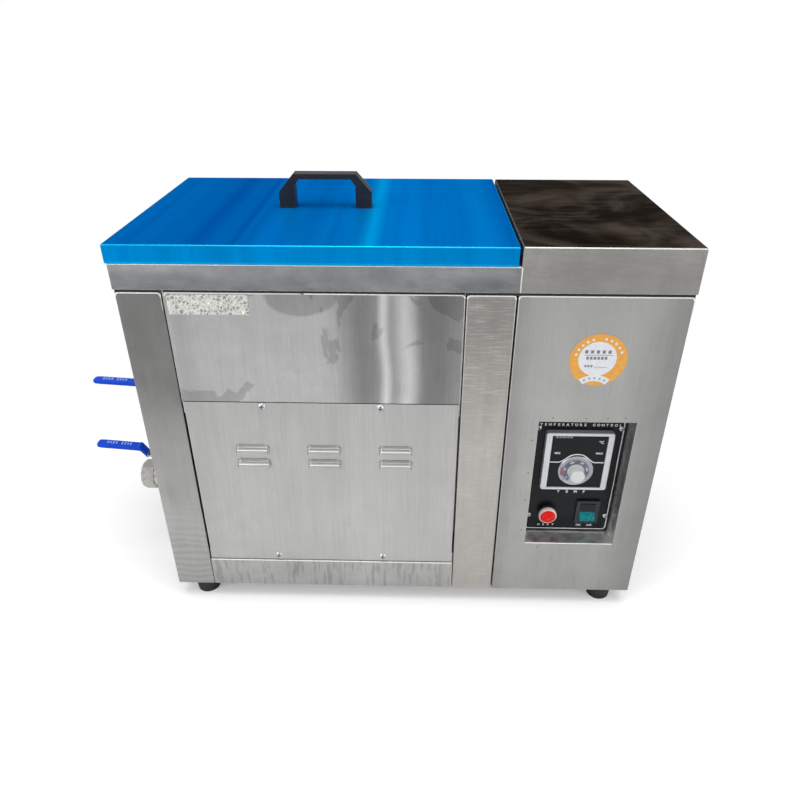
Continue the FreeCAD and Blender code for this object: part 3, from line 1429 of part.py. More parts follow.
# Contactor and terminal block on the base pan
contactor_left = f"({step_wall} + contactor_gap)"
contact_top = "(sheet + contactor_rise * 0.55)"
contactor_right = f"({contactor_left} + contactor_width)"
contactor_base = block((contactor_left, "contactor_setback", "sheet"),
                       (contactor_right, "contactor_setback + contactor_length", contact_top))
contactor_top = block((f"{contactor_left} + contactor_inset", "contactor_setback + contactor_step", "sheet"),
                      (f"{contactor_right} - contactor_inset",
                       "contactor_setback + contactor_length - contactor_step", "sheet + contactor_rise"))
contact_shares = (0.2, 0.5, 0.8)
contact_ends = ("contact_screw_inset", "contactor_length - contact_screw_inset")
contactor_screws = [rod((f"{contactor_left} + contactor_width * {share}", f"contactor_setback + {end}",
                         f"{contact_top} - contact_screw_rise"),
                        "z", "contact_screw", "2 * contact_screw_rise")
                    for share in contact_shares for end in contact_ends]
place(keep(fuse([contactor_base, contactor_top] + contactor_screws), "contactor"))
terminal_left = f"({contactor_left} + contactor_width + terminal_gap)"
terminal_base = block((terminal_left, "terminal_setback", "sheet"),
                      (f"{terminal_left} + 3 * terminal_pitch", "terminal_setback + terminal_depth",
                       "sheet + terminal_height"))
terminal_slots = [block((f"{terminal_left} + {step} * terminal_pitch + terminal_rib",
                         "terminal_setback - sheet", "sheet + terminal_floor"),
                        (f"{terminal_left} + {step + 1} * terminal_pitch - terminal_rib",
                         "terminal_setback + terminal_depth + sheet", "2 * sheet + terminal_height"))
                  for step in range(3)]
terminal_blank = cut(terminal_base, terminal_slots)
terminal_rows = ("terminal_screw_inset", "terminal_depth - terminal_screw_inset")
terminal_screws = [rod((f"{terminal_left} + ({step} + 0.5) * terminal_pitch", f"terminal_setback + {row}",
                        "terminal_floor"), "z", "contact_screw", "sheet + terminal_screw_rise")
                   for step in range(3) for row in terminal_rows]
place(keep(fuse([terminal_blank] + terminal_screws), "terminal_block"))

# Internal wiring: gland to terminals, terminals to contactor, contactor to the element
gland_inner = f"({back_front} - gland_tail)"


def wiring():
    wire = value("wire_diameter")
    lift = value("fit_gap") + wire / 2
    top = value("sheet + terminal_floor + terminal_screw_rise") + lift
    contact = value(f"{contact_top} + contact_screw_rise") + lift
    lead = value("wire_lead")
    spacing = value("wire_spacing")
    row = value("element_height")
    columns = [value(f"{terminal_left} + ({step} + 0.5) * terminal_pitch") for step in range(3)]
    screws = [value(f"{contactor_left} + contactor_width * {share}") for share in contact_shares]
    runs = [[(column, value(f"terminal_setback + {terminal_rows[1]}"), top),
             (column, value(back_front) - lead, top)] for column in columns]
    for step, (column, screw) in enumerate(zip(columns[:2], screws)):
        depth = value("contactor_setback") - lead - spacing * step
        runs.append([(column, value(f"terminal_setback + {terminal_rows[0]}"), top), (column, depth, top),
                     (screw, depth, top), (screw, depth, contact),
                     (screw, value("contactor_setback + contact_screw_inset"), contact)])
    for step, (screw, setback) in enumerate(zip(screws, (heater_rows[0], heater_rows[3]))):
        end_y = value("contactor_setback + contactor_length - contact_screw_inset")
        spread = spacing / 2 + spacing * step * 0.75
        side = value(element_start) + lead + spread
        line = value(setback)
        turn = end_y + lead + spread
        low = row - spacing - spread
        runs.append([(screw, end_y, contact), (screw, turn, contact), (screw, turn, low), (side, line, low),
                     (side, line, row), (value(f"{element_start} + fit_gap"), line, row)])
    return Part.makeCompound([tube_along(run, wire, value("wire_bend")) for run in runs])


shape_node("wiring", wiring())

# Cable gland through the back panel and its lock nut inside
thread_radius = value("gland_thread") / 2
gland_profile = Part.makeCylinder(thread_radius, value(f"{back_face} - {back_front} + gland_tail"),
                                  Vector(0, 0, 0), Vector(0, -1, 0))
gland_hex = hexagon(value("gland_hex"), value("gland_hex_length"))
gland_hex.rotate(Vector(0, 0, 0), Vector(0, 0, 1), 90)
gland_whole = value(f"{back_face} - {back_front} + gland_tail + gland_reach")
cap = Part.makeCone(value("gland_hex") * 0.46, value("gland_bore / 2 + gland_cap_wall"),
                    value("gland_reach - gland_hex_length"),
                    Vector(0, value("gland_hex_length"), 0), Vector(0, 1, 0))
through = Part.makeCylinder(value("gland_bore") / 2, 2 * gland_whole,
                            Vector(0, -gland_whole, 0), Vector(0, 1, 0))
shape_node("cable_gland", gland_profile.fuse([gland_hex, cap]).cut(through).removeSplitter(),
           gland_x, back_face, gland_z)
nut_length = value("gland_nut_length")
lock_nut = hexagon(value("gland_hex"), nut_length)
lock_nut.rotate(Vector(0, 0, 0), Vector(0, 0, 1), -90)
lock_hole = Part.makeCylinder(thread_radius + value("fit_gap") / 4, 4 * nut_length,
                              Vector(0, -2 * nut_length, 0), Vector(0, 1, 0))
shape_node("gland_lock_nut", lock_nut.cut(lock_hole), gland_x, back_front, gland_z)

# Lid: a shallow cover whose flanges hang round the worktop, seated on the tank's walls
lid_left = "(-cabinet_width / 2 - sheet - lid_clearance)"
lid_right = f"({step_wall} - lid_step_gap)"
lid_front = "(-sheet - lid_clearance)"
lid_rear = "(cabinet_depth + sheet + lid_clearance)"
lid_low = "(worktop_height + lid_clearance)"
lid_middle = f"(({lid_left} + {lid_right}) / 2)"
handle_y = "(cabinet_depth / 2)"
lid = new_body("lid_shell")
outline = new_sketch(lid, "XY_Plane", lid_low)
rectangle(outline, lid_left, lid_front, lid_right, lid_rear)
pad(lid, outline, f"{high_top} - {lid_low}")
inside = new_sketch(lid, "XY_Plane", lid_low)
rectangle(inside, f"{lid_left} + sheet", f"{lid_front} + sheet",
          f"{lid_right} - sheet", f"{lid_rear} - sheet")
pocket(lid, inside, f"{high_top} - {lid_low} - sheet", back=True)
handle_screw_columns = [f"{lid_middle} + {side} * (handle_length / 2 - handle_leg / 2)" for side in (-1, 1)]
screw_holes = new_sketch(lid, "XY_Plane", f"{high_top} - 2 * sheet")
for column in handle_screw_columns:
    circle(screw_holes, column, handle_y, "handle_screw_diameter + 2 * fit_gap")
pocket(lid, screw_holes, "3 * sheet", back=True)


def lid_outer(box):
    ends_x = near(box.XMin, value(lid_left)) or near(box.XMin, value(lid_right))
    ends_y = near(box.YMin, value(lid_front)) or near(box.YMin, value(lid_rear))
    sides_x = near(box.XMin, box.XMax) and ends_x
    sides_y = near(box.YMin, box.YMax) and ends_y
    top = near(box.ZMin, value(high_top)) and near(box.ZMax, box.ZMin)
    return (sides_x and sides_y) or (top and (sides_x or sides_y))


round_edges(lid, "edge_round", lid_outer)
place(lid)

# Lid handle: a moulded bridge with sloped shoulders, open under its bar
handle = new_body("lid_handle")
arch = new_sketch(handle, "XZ_Plane", "-handle_depth / 2")
half_top = "(handle_length / 2 - handle_chamfer)"
inner_half = "(handle_length / 2 - handle_leg)"
inner_top = "(handle_height - handle_bar)"
polygon(arch, [
    ("-handle_length / 2", "0"),
    ("-handle_length / 2", "handle_shoulder"),
    (f"-{half_top}", "handle_height"),
    (half_top, "handle_height"),
    ("handle_length / 2", "handle_shoulder"),
    ("handle_length / 2", "0"),
    (inner_half, "0"),
    (inner_half, f"{inner_top} - handle_inner_rise"),
    (f"{inner_half} - handle_inner_run", inner_top),
    (f"-{inner_half} + handle_inner_run", inner_top),
    (f"-{inner_half}", f"{inner_top} - handle_inner_rise"),
    (f"-{inner_half}", "0"),
])
pad(handle, arch, "handle_depth")
sockets = new_sketch(handle, "XY_Plane")
for side in (-1, 1):
    circle(sockets, f"{side} * (handle_length / 2 - handle_leg / 2)", "0",
           "handle_screw_diameter + 2 * fit_gap")
pocket(handle, sockets, "handle_shoulder - handle_roof", back=True)


def handle_outer(box):
    across = near(box.YLength, value("handle_depth")) and box.XLength < 1e-3 and box.ZLength < 1e-3
    return across and box.ZMin > value("handle_shoulder") - 1e-3


round_edges(handle, "handle_round", handle_outer)
place(handle, lid_middle, handle_y, high_top)


def handle_screw():
    diameter = value("handle_screw_diameter")
    under = value("sheet")
    rise = value("handle_shoulder - 2 * handle_roof")
    shank = Part.makeCylinder(diameter / 2, under + rise, Vector(0, 0, -under))
    head = Part.makeCylinder(diameter * 0.9, diameter * 0.5, Vector(0, 0, -under - diameter * 0.5))
    return shank.fuse(head).removeSplitter()


lid_screws = [handle_screw().translated(Vector(value(column), value(handle_y), value(high_top)))
              for column in handle_screw_columns]
shape_node("lid_handle_screws", Part.makeCompound(lid_screws))

# Blank foil label on the upper panel and a round sticker on the control box
label_left = f"({panel_west} + label_inset)"
label_top = f"({skirt_bottom} - label_drop)"
foil = keep(group([block((label_left, f"{panel_front} - film_thickness", f"{label_top} - label_height"),
                         (f"{label_left} + label_width", panel_front, label_top))]), "foil_label")
place(foil)
sticker = keep(group([rod(("recess_centre", f"{front} - film_thickness", "sticker_height"), "y",
                          "sticker_diameter", "film_thickness")]), "round_sticker")
place(sticker)

# The last step: every object and every piece is checked before anything is written
doc.recompute()
for item in doc.Objects:
    if "Invalid" in item.State or "Error" in item.State:
        raise RuntimeError(f"{item.Label} failed: {item.State}")
for item in nodes:
    if item.Shape.isNull() or not item.Shape.isValid() or not item.Shape.Solids:
        raise RuntimeError(f"{item.Label} has no valid solid")
os.makedirs("parts", exist_ok=True)
for item in nodes:
    item.Shape.exportStep(f"parts/{item.Label}.step")
    print(f"{item.Label}: {len(item.Shape.Solids)} solids, {item.Shape.Volume / 1000:.2f} cm3")
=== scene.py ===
import bpy
import bmesh
from math import cos, pi, radians, sin
from mathutils import Matrix, Vector, noise
from mathutils.bvhtree import BVHTree


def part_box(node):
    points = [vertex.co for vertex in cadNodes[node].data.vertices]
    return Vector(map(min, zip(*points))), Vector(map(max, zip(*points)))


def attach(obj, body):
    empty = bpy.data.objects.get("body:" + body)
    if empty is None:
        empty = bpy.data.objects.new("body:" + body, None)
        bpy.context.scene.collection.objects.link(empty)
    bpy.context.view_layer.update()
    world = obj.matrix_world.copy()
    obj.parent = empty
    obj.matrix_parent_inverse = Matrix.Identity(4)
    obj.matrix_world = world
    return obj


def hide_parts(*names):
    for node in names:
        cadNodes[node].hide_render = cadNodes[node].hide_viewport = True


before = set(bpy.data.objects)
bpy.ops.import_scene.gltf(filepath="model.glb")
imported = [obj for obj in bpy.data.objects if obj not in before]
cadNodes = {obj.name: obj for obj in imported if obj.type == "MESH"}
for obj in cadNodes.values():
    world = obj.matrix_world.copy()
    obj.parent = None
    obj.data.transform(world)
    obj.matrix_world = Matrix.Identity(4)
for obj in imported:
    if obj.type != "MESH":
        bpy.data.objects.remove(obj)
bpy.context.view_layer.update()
mm = 0.001
# The span in which most noise values lie
usual = (0.3, 0.7)
scene = bpy.context.scene


# Nodes and materials

def addObject(name, data):
    made = bpy.data.objects.new(name, data)
    scene.collection.objects.link(made)
    return made


def fill(tree, socket, entry):
    if isinstance(entry, bpy.types.NodeSocket):
        tree.links.new(entry, socket)
    else:
        socket.default_value = entry


def addNode(tree, kind, values=None, **settings):
    node = tree.nodes.new(kind)
    for key, setting in settings.items():
        setattr(node, key, setting)
    for key, entry in (values or {}).items():
        fill(tree, node.inputs[key], entry)
    return node


def mathNode(tree, operation, first, second=0.5, clamp=False):
    node = addNode(tree, "ShaderNodeMath", {0: first, 1: second}, operation=operation, use_clamp=clamp)
    return node.outputs[0]


def times(tree, first, second):
    return mathNode(tree, "MULTIPLY", first, second)


def plus(tree, first, second, clamp=False):
    return mathNode(tree, "ADD", first, second, clamp)


def minus(tree, first, second, clamp=False):
    return mathNode(tree, "SUBTRACT", first, second, clamp)


def gapTo(tree, first, second):
    return mathNode(tree, "ABSOLUTE", minus(tree, first, second))


# First value times a factor, plus a share
def scaledPlus(tree, first, factor, share):
    values = {0: first, 1: factor, 2: share}
    return addNode(tree, "ShaderNodeMath", values, operation="MULTIPLY_ADD").outputs[0]


def vectorNode(tree, operation, first, second=(0, 0, 0)):
    return addNode(tree, "ShaderNodeVectorMath", {0: first, 1: second}, operation=operation).outputs


def noiseNode(tree, place, scale, detail=2.0, **more):
    values = {"Vector": place, "Scale": scale, "Detail": detail, **more}
    return addNode(tree, "ShaderNodeTexNoise", values).outputs[0]


def stretched(tree, place, scale, turn=(0.0, 0.0, 0.0)):
    return addNode(tree, "ShaderNodeMapping", {"Vector": place, "Scale": scale, "Rotation": turn}).outputs[0]


def axes(tree, vector):
    return addNode(tree, "ShaderNodeSeparateXYZ", {"Vector": vector}).outputs


def mixColor(tree, factor, first, second):
    pair = [entry if isinstance(entry, bpy.types.NodeSocket) else (*entry, 1) for entry in (first, second)]
    node = addNode(tree, "ShaderNodeMix", data_type="RGBA")
    for index, entry in ((0, factor), (6, pair[0]), (7, pair[1])):
        fill(tree, node.inputs[index], entry)
    return node.outputs[2]


def mapRange(tree, entry, low, high, newLow=0.0, newHigh=1.0):
    values = {0: entry, 1: low, 2: high, 3: newLow, 4: newHigh}
    return addNode(tree, "ShaderNodeMapRange", values, clamp=True).outputs[0]


# A node group with its vector inputs, its number inputs and its number outputs
def newGroup(name, vectors, numbers, outputs):
    group = bpy.data.node_groups.new(name, "ShaderNodeTree")
    for labels, side, kind in ((vectors, "INPUT", "Vector"), (numbers, "INPUT", "Float"),
                               (outputs, "OUTPUT", "Float")):
        for label in labels:
            group.interface.new_socket(name=label, in_out=side, socket_type=f"NodeSocket{kind}")
    start = group.nodes.new("NodeGroupInput")
    end = group.nodes.new("NodeGroupOutput")
    return group, start.outputs, end.inputs


# Fine lines that a brush leaves in steel, drawn out along one direction
def makeBrushGrain():
    group, given, out = newGroup("brushGrain", ["Place", "Stretch"], ["Fineness"], ["Line", "Band"])
    spread = vectorNode(group, "MULTIPLY", given["Place"], given["Stretch"])[0]
    fine = noiseNode(group, spread, given["Fineness"], 3.0, Roughness=0.6)
    wide = noiseNode(group, spread, times(group, given["Fineness"], 0.13))
    group.links.new(fine, out["Line"])
    group.links.new(wide, out["Band"])
    return group


# Soft blotches and wiped streaks from handling
def makeHandSmudges():
    group, given, out = newGroup("handSmudges", ["Place"], ["Size", "Cover"], ["Mask", "Cloud"])
    cloud = noiseNode(group, given["Place"], given["Size"], 5.0, Roughness=0.62, Distortion=0.6)
    dots = noiseNode(group, given["Place"], times(group, given["Size"], 4.3), 4.0)
    both = times(group, cloud, dots)
    edge = scaledPlus(group, given["Cover"], -0.3, 0.42)
    group.links.new(mapRange(group, both, edge, 0.5), out["Mask"])
    group.links.new(cloud, out["Cloud"])
    return group


# Rims, found where the surface turns sharply: rubbed wear, and on the steel and plated metal also a painted
# highlight
def makeRimWear():
    group, given, out = newGroup("rimWearAndGlint", ["Place"], ["Reach"], ["Mask"])
    rounded = addNode(group, "ShaderNodeBevel", {"Radius": given["Reach"]}, samples=4)
    flat = addNode(group, "ShaderNodeNewGeometry")
    turn = vectorNode(group, "DOT_PRODUCT", rounded.outputs[0], flat.outputs["Normal"])["Value"]
    worn = mapRange(group, turn, 0.995, 0.9)
    patch = noiseNode(group, given["Place"], 140.0, 3.0)
    broken = mapRange(group, patch, 0.38, 0.62)
    group.links.new(times(group, worn, broken), out["Mask"])
    return group


# Thin scratches at a few odd angles
def makeScratches():
    group, given, out = newGroup("thinScratches", ["Place"], ["Amount"], ["Mask"])
    lines = None
    for angle, scale in ((0.35, 26.0), (1.2, 18.0), (2.4, 22.0)):
        turned = stretched(group, given["Place"], (1.0, 34.0, 1.0), (angle, 0.4, angle))
        streak = noiseNode(group, turned, scale)
        thin = mapRange(group, streak, 0.72, 0.76)
        lines = thin if lines is None else mathNode(group, "MAXIMUM", lines, thin)
    group.links.new(times(group, lines, given["Amount"]), out["Mask"])
    return group


groups = {"grain": makeBrushGrain(), "smudge": makeHandSmudges(), "wearAndGlint": makeRimWear(),
          "scratch": makeScratches()}


def useGroup(tree, name, place, **values):
    node = addNode(tree, "ShaderNodeGroup", node_tree=groups[name])
    for key, entry in {"Place": place, **values}.items():
        fill(tree, node.inputs[key], entry)
    return node.outputs


def newMaterial(name, color, roughness, metallic=0.0, **sockets):
    material = bpy.data.materials.new(name)
    material.use_nodes = True
    tree = material.node_tree
    shader = tree.nodes["Principled BSDF"]
    shader.inputs["Base Color"].default_value = (*color, 1)
    shader.inputs["Roughness"].default_value = roughness
    shader.inputs["Metallic"].default_value = metallic
    for key, entry in sockets.items():
        shader.inputs[key.replace("_", " ")].default_value = entry
    place = addNode(tree, "ShaderNodeTexCoord").outputs["Object"]
    return material, tree, shader, place


def link(tree, source, shader, name):
    tree.links.new(source, shader.inputs[name])


def addBump(tree, shader, height, strength, distance):
    bump = addNode(tree, "ShaderNodeBump", {"Height": height, "Strength": strength, "Distance": distance})
    tree.links.new(bump.outputs[0], shader.inputs["Normal"])


# Sheet steel. Each sheet has its own tone, from upper to lower between two heights, with cloudy
# patches, wiped marks and the lines of the brush; columns are soft upright bands of painted reflection,
# lighter or darker, at given places
def sheetSteel(name, upper, lower, fade=(0.30, 0.12), cloud=0.12, patch=0.14, size=9.0,
               stretch=(1, 1, 0.02), rough=(0.30, 0.46), columns=(), tint=(1.0, 0.995, 0.975),
               masks=None, fadeWobble=0.05):
    material, tree, shader, place = newMaterial(name, (upper, upper, upper), 0.35, 1.0)
    grain = useGroup(tree, "grain", place, Stretch=stretch, Fineness=1100.0)
    smudge = useGroup(tree, "smudge", place, Size=size, Cover=0.55)
    scratch = useGroup(tree, "scratch", place, Amount=0.5)
    wearAndGlint = useGroup(tree, "wearAndGlint", place, Reach=0.0012)
    spot = axes(tree, place)
    bend = mapRange(tree, noiseNode(tree, place, 6.0), *usual, -0.5, 0.5)
    height = plus(tree, spot["Z"], times(tree, bend, fadeWobble))
    tone = mapRange(tree, height, fade[0], fade[1], upper, lower)
    tone = times(tree, tone, mapRange(tree, smudge["Cloud"], 0.33, 0.67, 1 - cloud, 1 + cloud))
    tone = times(tree, tone, mapRange(tree, smudge["Mask"], 0.0, 1.0, 1.0, 1 - patch))
    tone = times(tree, tone, mapRange(tree, grain["Line"], *usual, 1.05, 0.93))
    across = plus(tree, spot["X"], times(tree, bend, 0.012))
    # Painted reflection bands: each column lightens or darkens the tone
    for middle, width, gain in columns:
        away = gapTo(tree, across, middle)
        band = addNode(tree, "ShaderNodeMapRange", {0: away, 1: width, 2: 0.0, 3: 1.0, 4: gain},
                       clamp=True, interpolation_type="SMOOTHSTEP")
        tone = times(tree, tone, band.outputs[0])
    for mask, gain in masks(tree, place, spot) if masks else ():
        tone = times(tree, tone, mapRange(tree, mask, 0.0, 1.0, 1.0, gain))
    color = addNode(tree, "ShaderNodeVectorMath", {0: tint, "Scale": tone}, operation="SCALE").outputs[0]
    # Pale rims: painted highlight, with some wear
    color = mixColor(tree, times(tree, wearAndGlint["Mask"], 0.5), color, (0.80, 0.795, 0.78))
    link(tree, color, shader, "Base Color")
    roughness = mapRange(tree, grain["Band"], *usual, rough[0], rough[1])
    roughness = plus(tree, roughness, times(tree, smudge["Mask"], 0.12), True)
    roughness = minus(tree, roughness, times(tree, scratch["Mask"], 0.1), True)
    link(tree, roughness, shader, "Roughness")
    addBump(tree, shader, plus(tree, grain["Line"], scratch["Mask"]), 0.12, 0.0002)
    return material


# Curved brush strokes low on the left post
def footStrokes(tree, place, spot):
    values = {"Vector": place, "Scale": 34.0, "Distortion": 5.0, "Detail": 2.0, "Detail Scale": 0.8}
    sweep = addNode(tree, "ShaderNodeTexWave", values, bands_direction="Z")
    low = mapRange(tree, spot["Z"], 0.15, 0.07)
    stroke = times(tree, mapRange(tree, sweep.outputs["Fac"], 0.35, 0.8), low)
    return ((stroke, 0.88),)


# Dark damp-looking patches with crisp edges, and pale ones, on the upper panel
def dampPatches(tree, place, spot):
    shape = noiseNode(tree, place, 13.0, 4.0, Distortion=0.5)
    high = mapRange(tree, spot["Z"], 0.31, 0.385)
    over = minus(tree, shape, scaledPlus(tree, high, -0.10, 0.62))
    damp = mapRange(tree, over, 0.0, 0.012)
    cool = mapRange(tree, spot["X"], 0.0, 0.05)
    centred = vectorNode(tree, "ADD", place, (0.030, 0.0, -0.386))[0]
    oval = vectorNode(tree, "MULTIPLY", centred, (28.0, 0.0, 50.0))[0]
    reach = vectorNode(tree, "LENGTH", oval)["Value"]
    blot = minus(tree, 1.25, plus(tree, reach, times(tree, shape, 0.5)))
    return ((damp, 0.76), (cool, 0.86), (mapRange(tree, blot, 0.0, 0.12), 0.72))


# Fine level scratches on the middle post, strongest near its top
def levelScratches(tree, place, spot):
    drawn = stretched(tree, place, (7.0, 1.0, 130.0))
    lines = noiseNode(tree, drawn, 6.0, 3.0)
    high = mapRange(tree, spot["Z"], 0.24, 0.34, 0.25, 1.0)
    return ((times(tree, mapRange(tree, lines, 0.54, 0.62), high), 1.32),)


# Runs that dried on the bottom rail
def driedRuns(tree, place, spot):
    drawn = stretched(tree, place, (90.0, 1.0, 12.0))
    runs = noiseNode(tree, drawn, 3.0, 4.0)
    return ((mapRange(tree, runs, 0.5, 0.62), 0.78),)


# Soft dark reflections along the low skirt
def skirtShades(tree, place, spot):
    drawn = stretched(tree, place, (9.0, 1.0, 22.0))
    cloud = noiseNode(tree, drawn, 1.6, 3.0)
    low = mapRange(tree, spot["Z"], 0.411, 0.394)
    return ((times(tree, mapRange(tree, cloud, 0.46, 0.62), low), 0.55),)


# The cover's top is painted brown-black as a dark reflection, with swirled mottling and pale wiped streaks;
# its sides are warm bare steel
def coverSteel():
    material = sheetSteel("coverSteel", 0.40, 0.33, (0.433, 0.40), 0.10, 0.2, 16.0, (0.05, 1, 1),
                          tint=(1.0, 0.975, 0.92))
    tree = material.node_tree
    shader = tree.nodes["Principled BSDF"]
    place = addNode(tree, "ShaderNodeTexCoord").outputs["Object"]
    facing = axes(tree, addNode(tree, "ShaderNodeNewGeometry").outputs["Normal"])["Z"]
    isTop = mapRange(tree, facing, 0.75, 0.95)
    swirl = noiseNode(tree, place, 11.0, 6.0, Distortion=1.4)
    drawn = stretched(tree, place, (2.0, 16.0, 1.0), (0.0, 0.0, 0.12))
    wiped = noiseNode(tree, drawn, 7.0, 5.0)
    # Painted reflection: the top's dark brown-black stands for a dark room mirrored in the steel
    paintedDarkTop = mixColor(tree, mapRange(tree, swirl, 0.42, 0.6), (0.046, 0.042, 0.039), (0.120, 0.098, 0.084))
    pale = times(tree, mapRange(tree, wiped, 0.52, 0.72), 0.55)
    paintedDarkTop = mixColor(tree, pale, paintedDarkTop, (0.16, 0.15, 0.14))
    shader.inputs["Specular Tint"].default_value = (0.34, 0.32, 0.30, 1.0)
    steelSocket = shader.inputs["Base Color"].links[0].from_socket
    both = mixColor(tree, isTop, steelSocket, paintedDarkTop)
    link(tree, both, shader, "Base Color")
    roughSocket = shader.inputs["Roughness"].links[0].from_socket
    topRough = mapRange(tree, swirl, *usual, 0.3, 0.5)
    mixed = addNode(tree, "ShaderNodeMix", {0: isTop, 2: roughSocket, 3: topRough})
    link(tree, mixed.outputs[0], shader, "Roughness")
    return material


# Blue protective film that clings to the lid: the steel under it shines through, so it is metallic
# In filmLook, front is the painted lighter tone of the upright faces, fold the painted highlight colour of
# the bent edges, and the bands are painted reflection bands
filmLook = {"deep": (0.0, 0.118, 0.39), "bright": (0.0, 0.178, 0.53), "front": (0.0, 0.235, 0.62),
            "fold": (0.01, 0.50, 0.88),
            "reflectionBands": ((0.034, 0.011, 0.65, (0.0, 0.36, 0.72)), (-0.122, 0.016, 0.7, (0.0, 0.075, 0.31)),
                      (-0.088, 0.006, 0.6, (0.0, 0.075, 0.31)), (0.135, 0.03, 0.4, (0.0, 0.22, 0.58))),
            "topFoldHighlight": 0.4335, "lowFoldHighlight": 0.4190, "foldReach": 0.0004, "middle": 0.06, "reach": 0.16}


def blueFilm():
    material, tree, shader, place = newMaterial("blueFilm", filmLook["deep"], 0.24, 0.9)
    spot = axes(tree, place)
    drawn = stretched(tree, place, (26.0, 0.8, 1.0))
    streak = noiseNode(tree, drawn, 1.7, 3.0)
    # Painted sheen, brightest around the middle in X
    away = gapTo(tree, spot["X"], filmLook["middle"])
    sheen = mapRange(tree, away, filmLook["reach"], 0.0, 0.0, 0.8)
    streaksAndSheen = plus(tree, mapRange(tree, streak, 0.36, 0.66, -0.25, 0.35), sheen, True)
    base = mixColor(tree, streaksAndSheen, filmLook["deep"], filmLook["bright"])
    # Painted reflection bands, dark and bright, running across the lid
    for middle, reach, share, tone in filmLook["reflectionBands"]:
        apart = gapTo(tree, spot["X"], middle)
        wavy = times(tree, streak, reach)
        band = mapRange(tree, minus(tree, apart, wavy), reach * 0.6, -reach * 0.4)
        base = mixColor(tree, times(tree, band, share), base, tone)
    # The upright faces get a lighter tone: painted light, the same film lit differently
    facing = axes(tree, addNode(tree, "ShaderNodeNewGeometry").outputs["Normal"])
    upright = mapRange(tree, facing["Z"], 0.9, 0.3)
    paintedFrontLight = mixColor(tree, mapRange(tree, streak, 0.35, 0.65), filmLook["front"],
                         tuple(part * 1.18 for part in filmLook["front"]))
    base = mixColor(tree, upright, base, paintedFrontLight)
    # Painted highlights along the lid's top and bottom bent edges
    topFoldHighlight = mapRange(tree, spot["Z"], filmLook["topFoldHighlight"] - filmLook["foldReach"], filmLook["topFoldHighlight"])
    lowFoldHighlight = mapRange(tree, spot["Z"], filmLook["lowFoldHighlight"] + filmLook["foldReach"], filmLook["lowFoldHighlight"])
    fold = mathNode(tree, "MAXIMUM", topFoldHighlight, times(tree, lowFoldHighlight, 0.5))
    fold = times(tree, fold, mapRange(tree, facing["Z"], 0.97, 0.8))
    base = mixColor(tree, times(tree, fold, 0.75), base, filmLook["fold"])
    scratch = useGroup(tree, "scratch", place, Amount=0.55)
    base = mixColor(tree, times(tree, scratch["Mask"], 0.5), base, (0.0, 0.42, 0.75))
    bubble = addNode(tree, "ShaderNodeTexVoronoi", {"Vector": place, "Scale": 90.0, "Randomness": 1.0})
    sparse = noiseNode(tree, place, 14.0)
    bubbles = mapRange(tree, bubble.outputs["Distance"], 0.12, 0.02)
    bubbles = times(tree, bubbles, mapRange(tree, sparse, 0.58, 0.64))
    base = mixColor(tree, times(tree, bubbles, 0.3), base, (0.08, 0.38, 0.72))
    link(tree, base, shader, "Base Color")
    shader.inputs["Specular Tint"].default_value = (0.0, 0.25, 0.7, 1.0)
    shader.inputs["Specular IOR Level"].default_value = 0.0
    link(tree, mixColor(tree, upright, (0.35, 0.35, 0.35), (0.9, 0.9, 0.9)), shader, "Metallic")
    ripple = noiseNode(tree, drawn, 6.0, 4.0)
    raised = plus(tree, times(tree, ripple, 0.5), bubbles)
    addBump(tree, shader, raised, 0.2, 0.0005)
    link(tree, mapRange(tree, ripple, *usual, 0.2, 0.34), shader, "Roughness")
    return material


# Moulded plastic or rubber: fine texture, dust in the hollows and paler rubbed rims
def moulded(name, color, rubbed, roughness=0.5, texture=0.25, **sockets):
    material, tree, shader, place = newMaterial(name, color, roughness, 0.0, **sockets)
    smudge = useGroup(tree, "smudge", place, Size=40.0, Cover=0.4)
    wearAndGlint = useGroup(tree, "wearAndGlint", place, Reach=0.0008)
    base = mixColor(tree, times(tree, smudge["Mask"], 0.25), color, rubbed)
    base = mixColor(tree, times(tree, wearAndGlint["Mask"], 0.7), base, rubbed)
    link(tree, base, shader, "Base Color")
    pebble = noiseNode(tree, place, 1500.0)
    rough = mapRange(tree, smudge["Cloud"], *usual, roughness - 0.06, roughness + 0.1)
    link(tree, rough, shader, "Roughness")
    addBump(tree, shader, pebble, texture, 0.0002)
    return material


# Plated or cast metal with a slightly uneven face
def plated(name, color, roughness, worn, metallic=1.0, wearing=0.6):
    material, tree, shader, place = newMaterial(name, color, roughness, metallic)
    smudge = useGroup(tree, "smudge", place, Size=60.0, Cover=0.5)
    wearAndGlint = useGroup(tree, "wearAndGlint", place, Reach=0.0008)
    base = mixColor(tree, times(tree, smudge["Mask"], 0.6), color, worn)
    # Pale rims: painted highlight, with some wear
    base = mixColor(tree, times(tree, wearAndGlint["Mask"], wearing), base, (0.9, 0.89, 0.86))
    link(tree, base, shader, "Base Color")
    rough = mapRange(tree, smudge["Cloud"], *usual, roughness - 0.08, roughness + 0.12)
    link(tree, rough, shader, "Roughness")
    pits = noiseNode(tree, place, 700.0, 3.0)
    addBump(tree, shader, pits, 0.15, 0.0002)
    return material


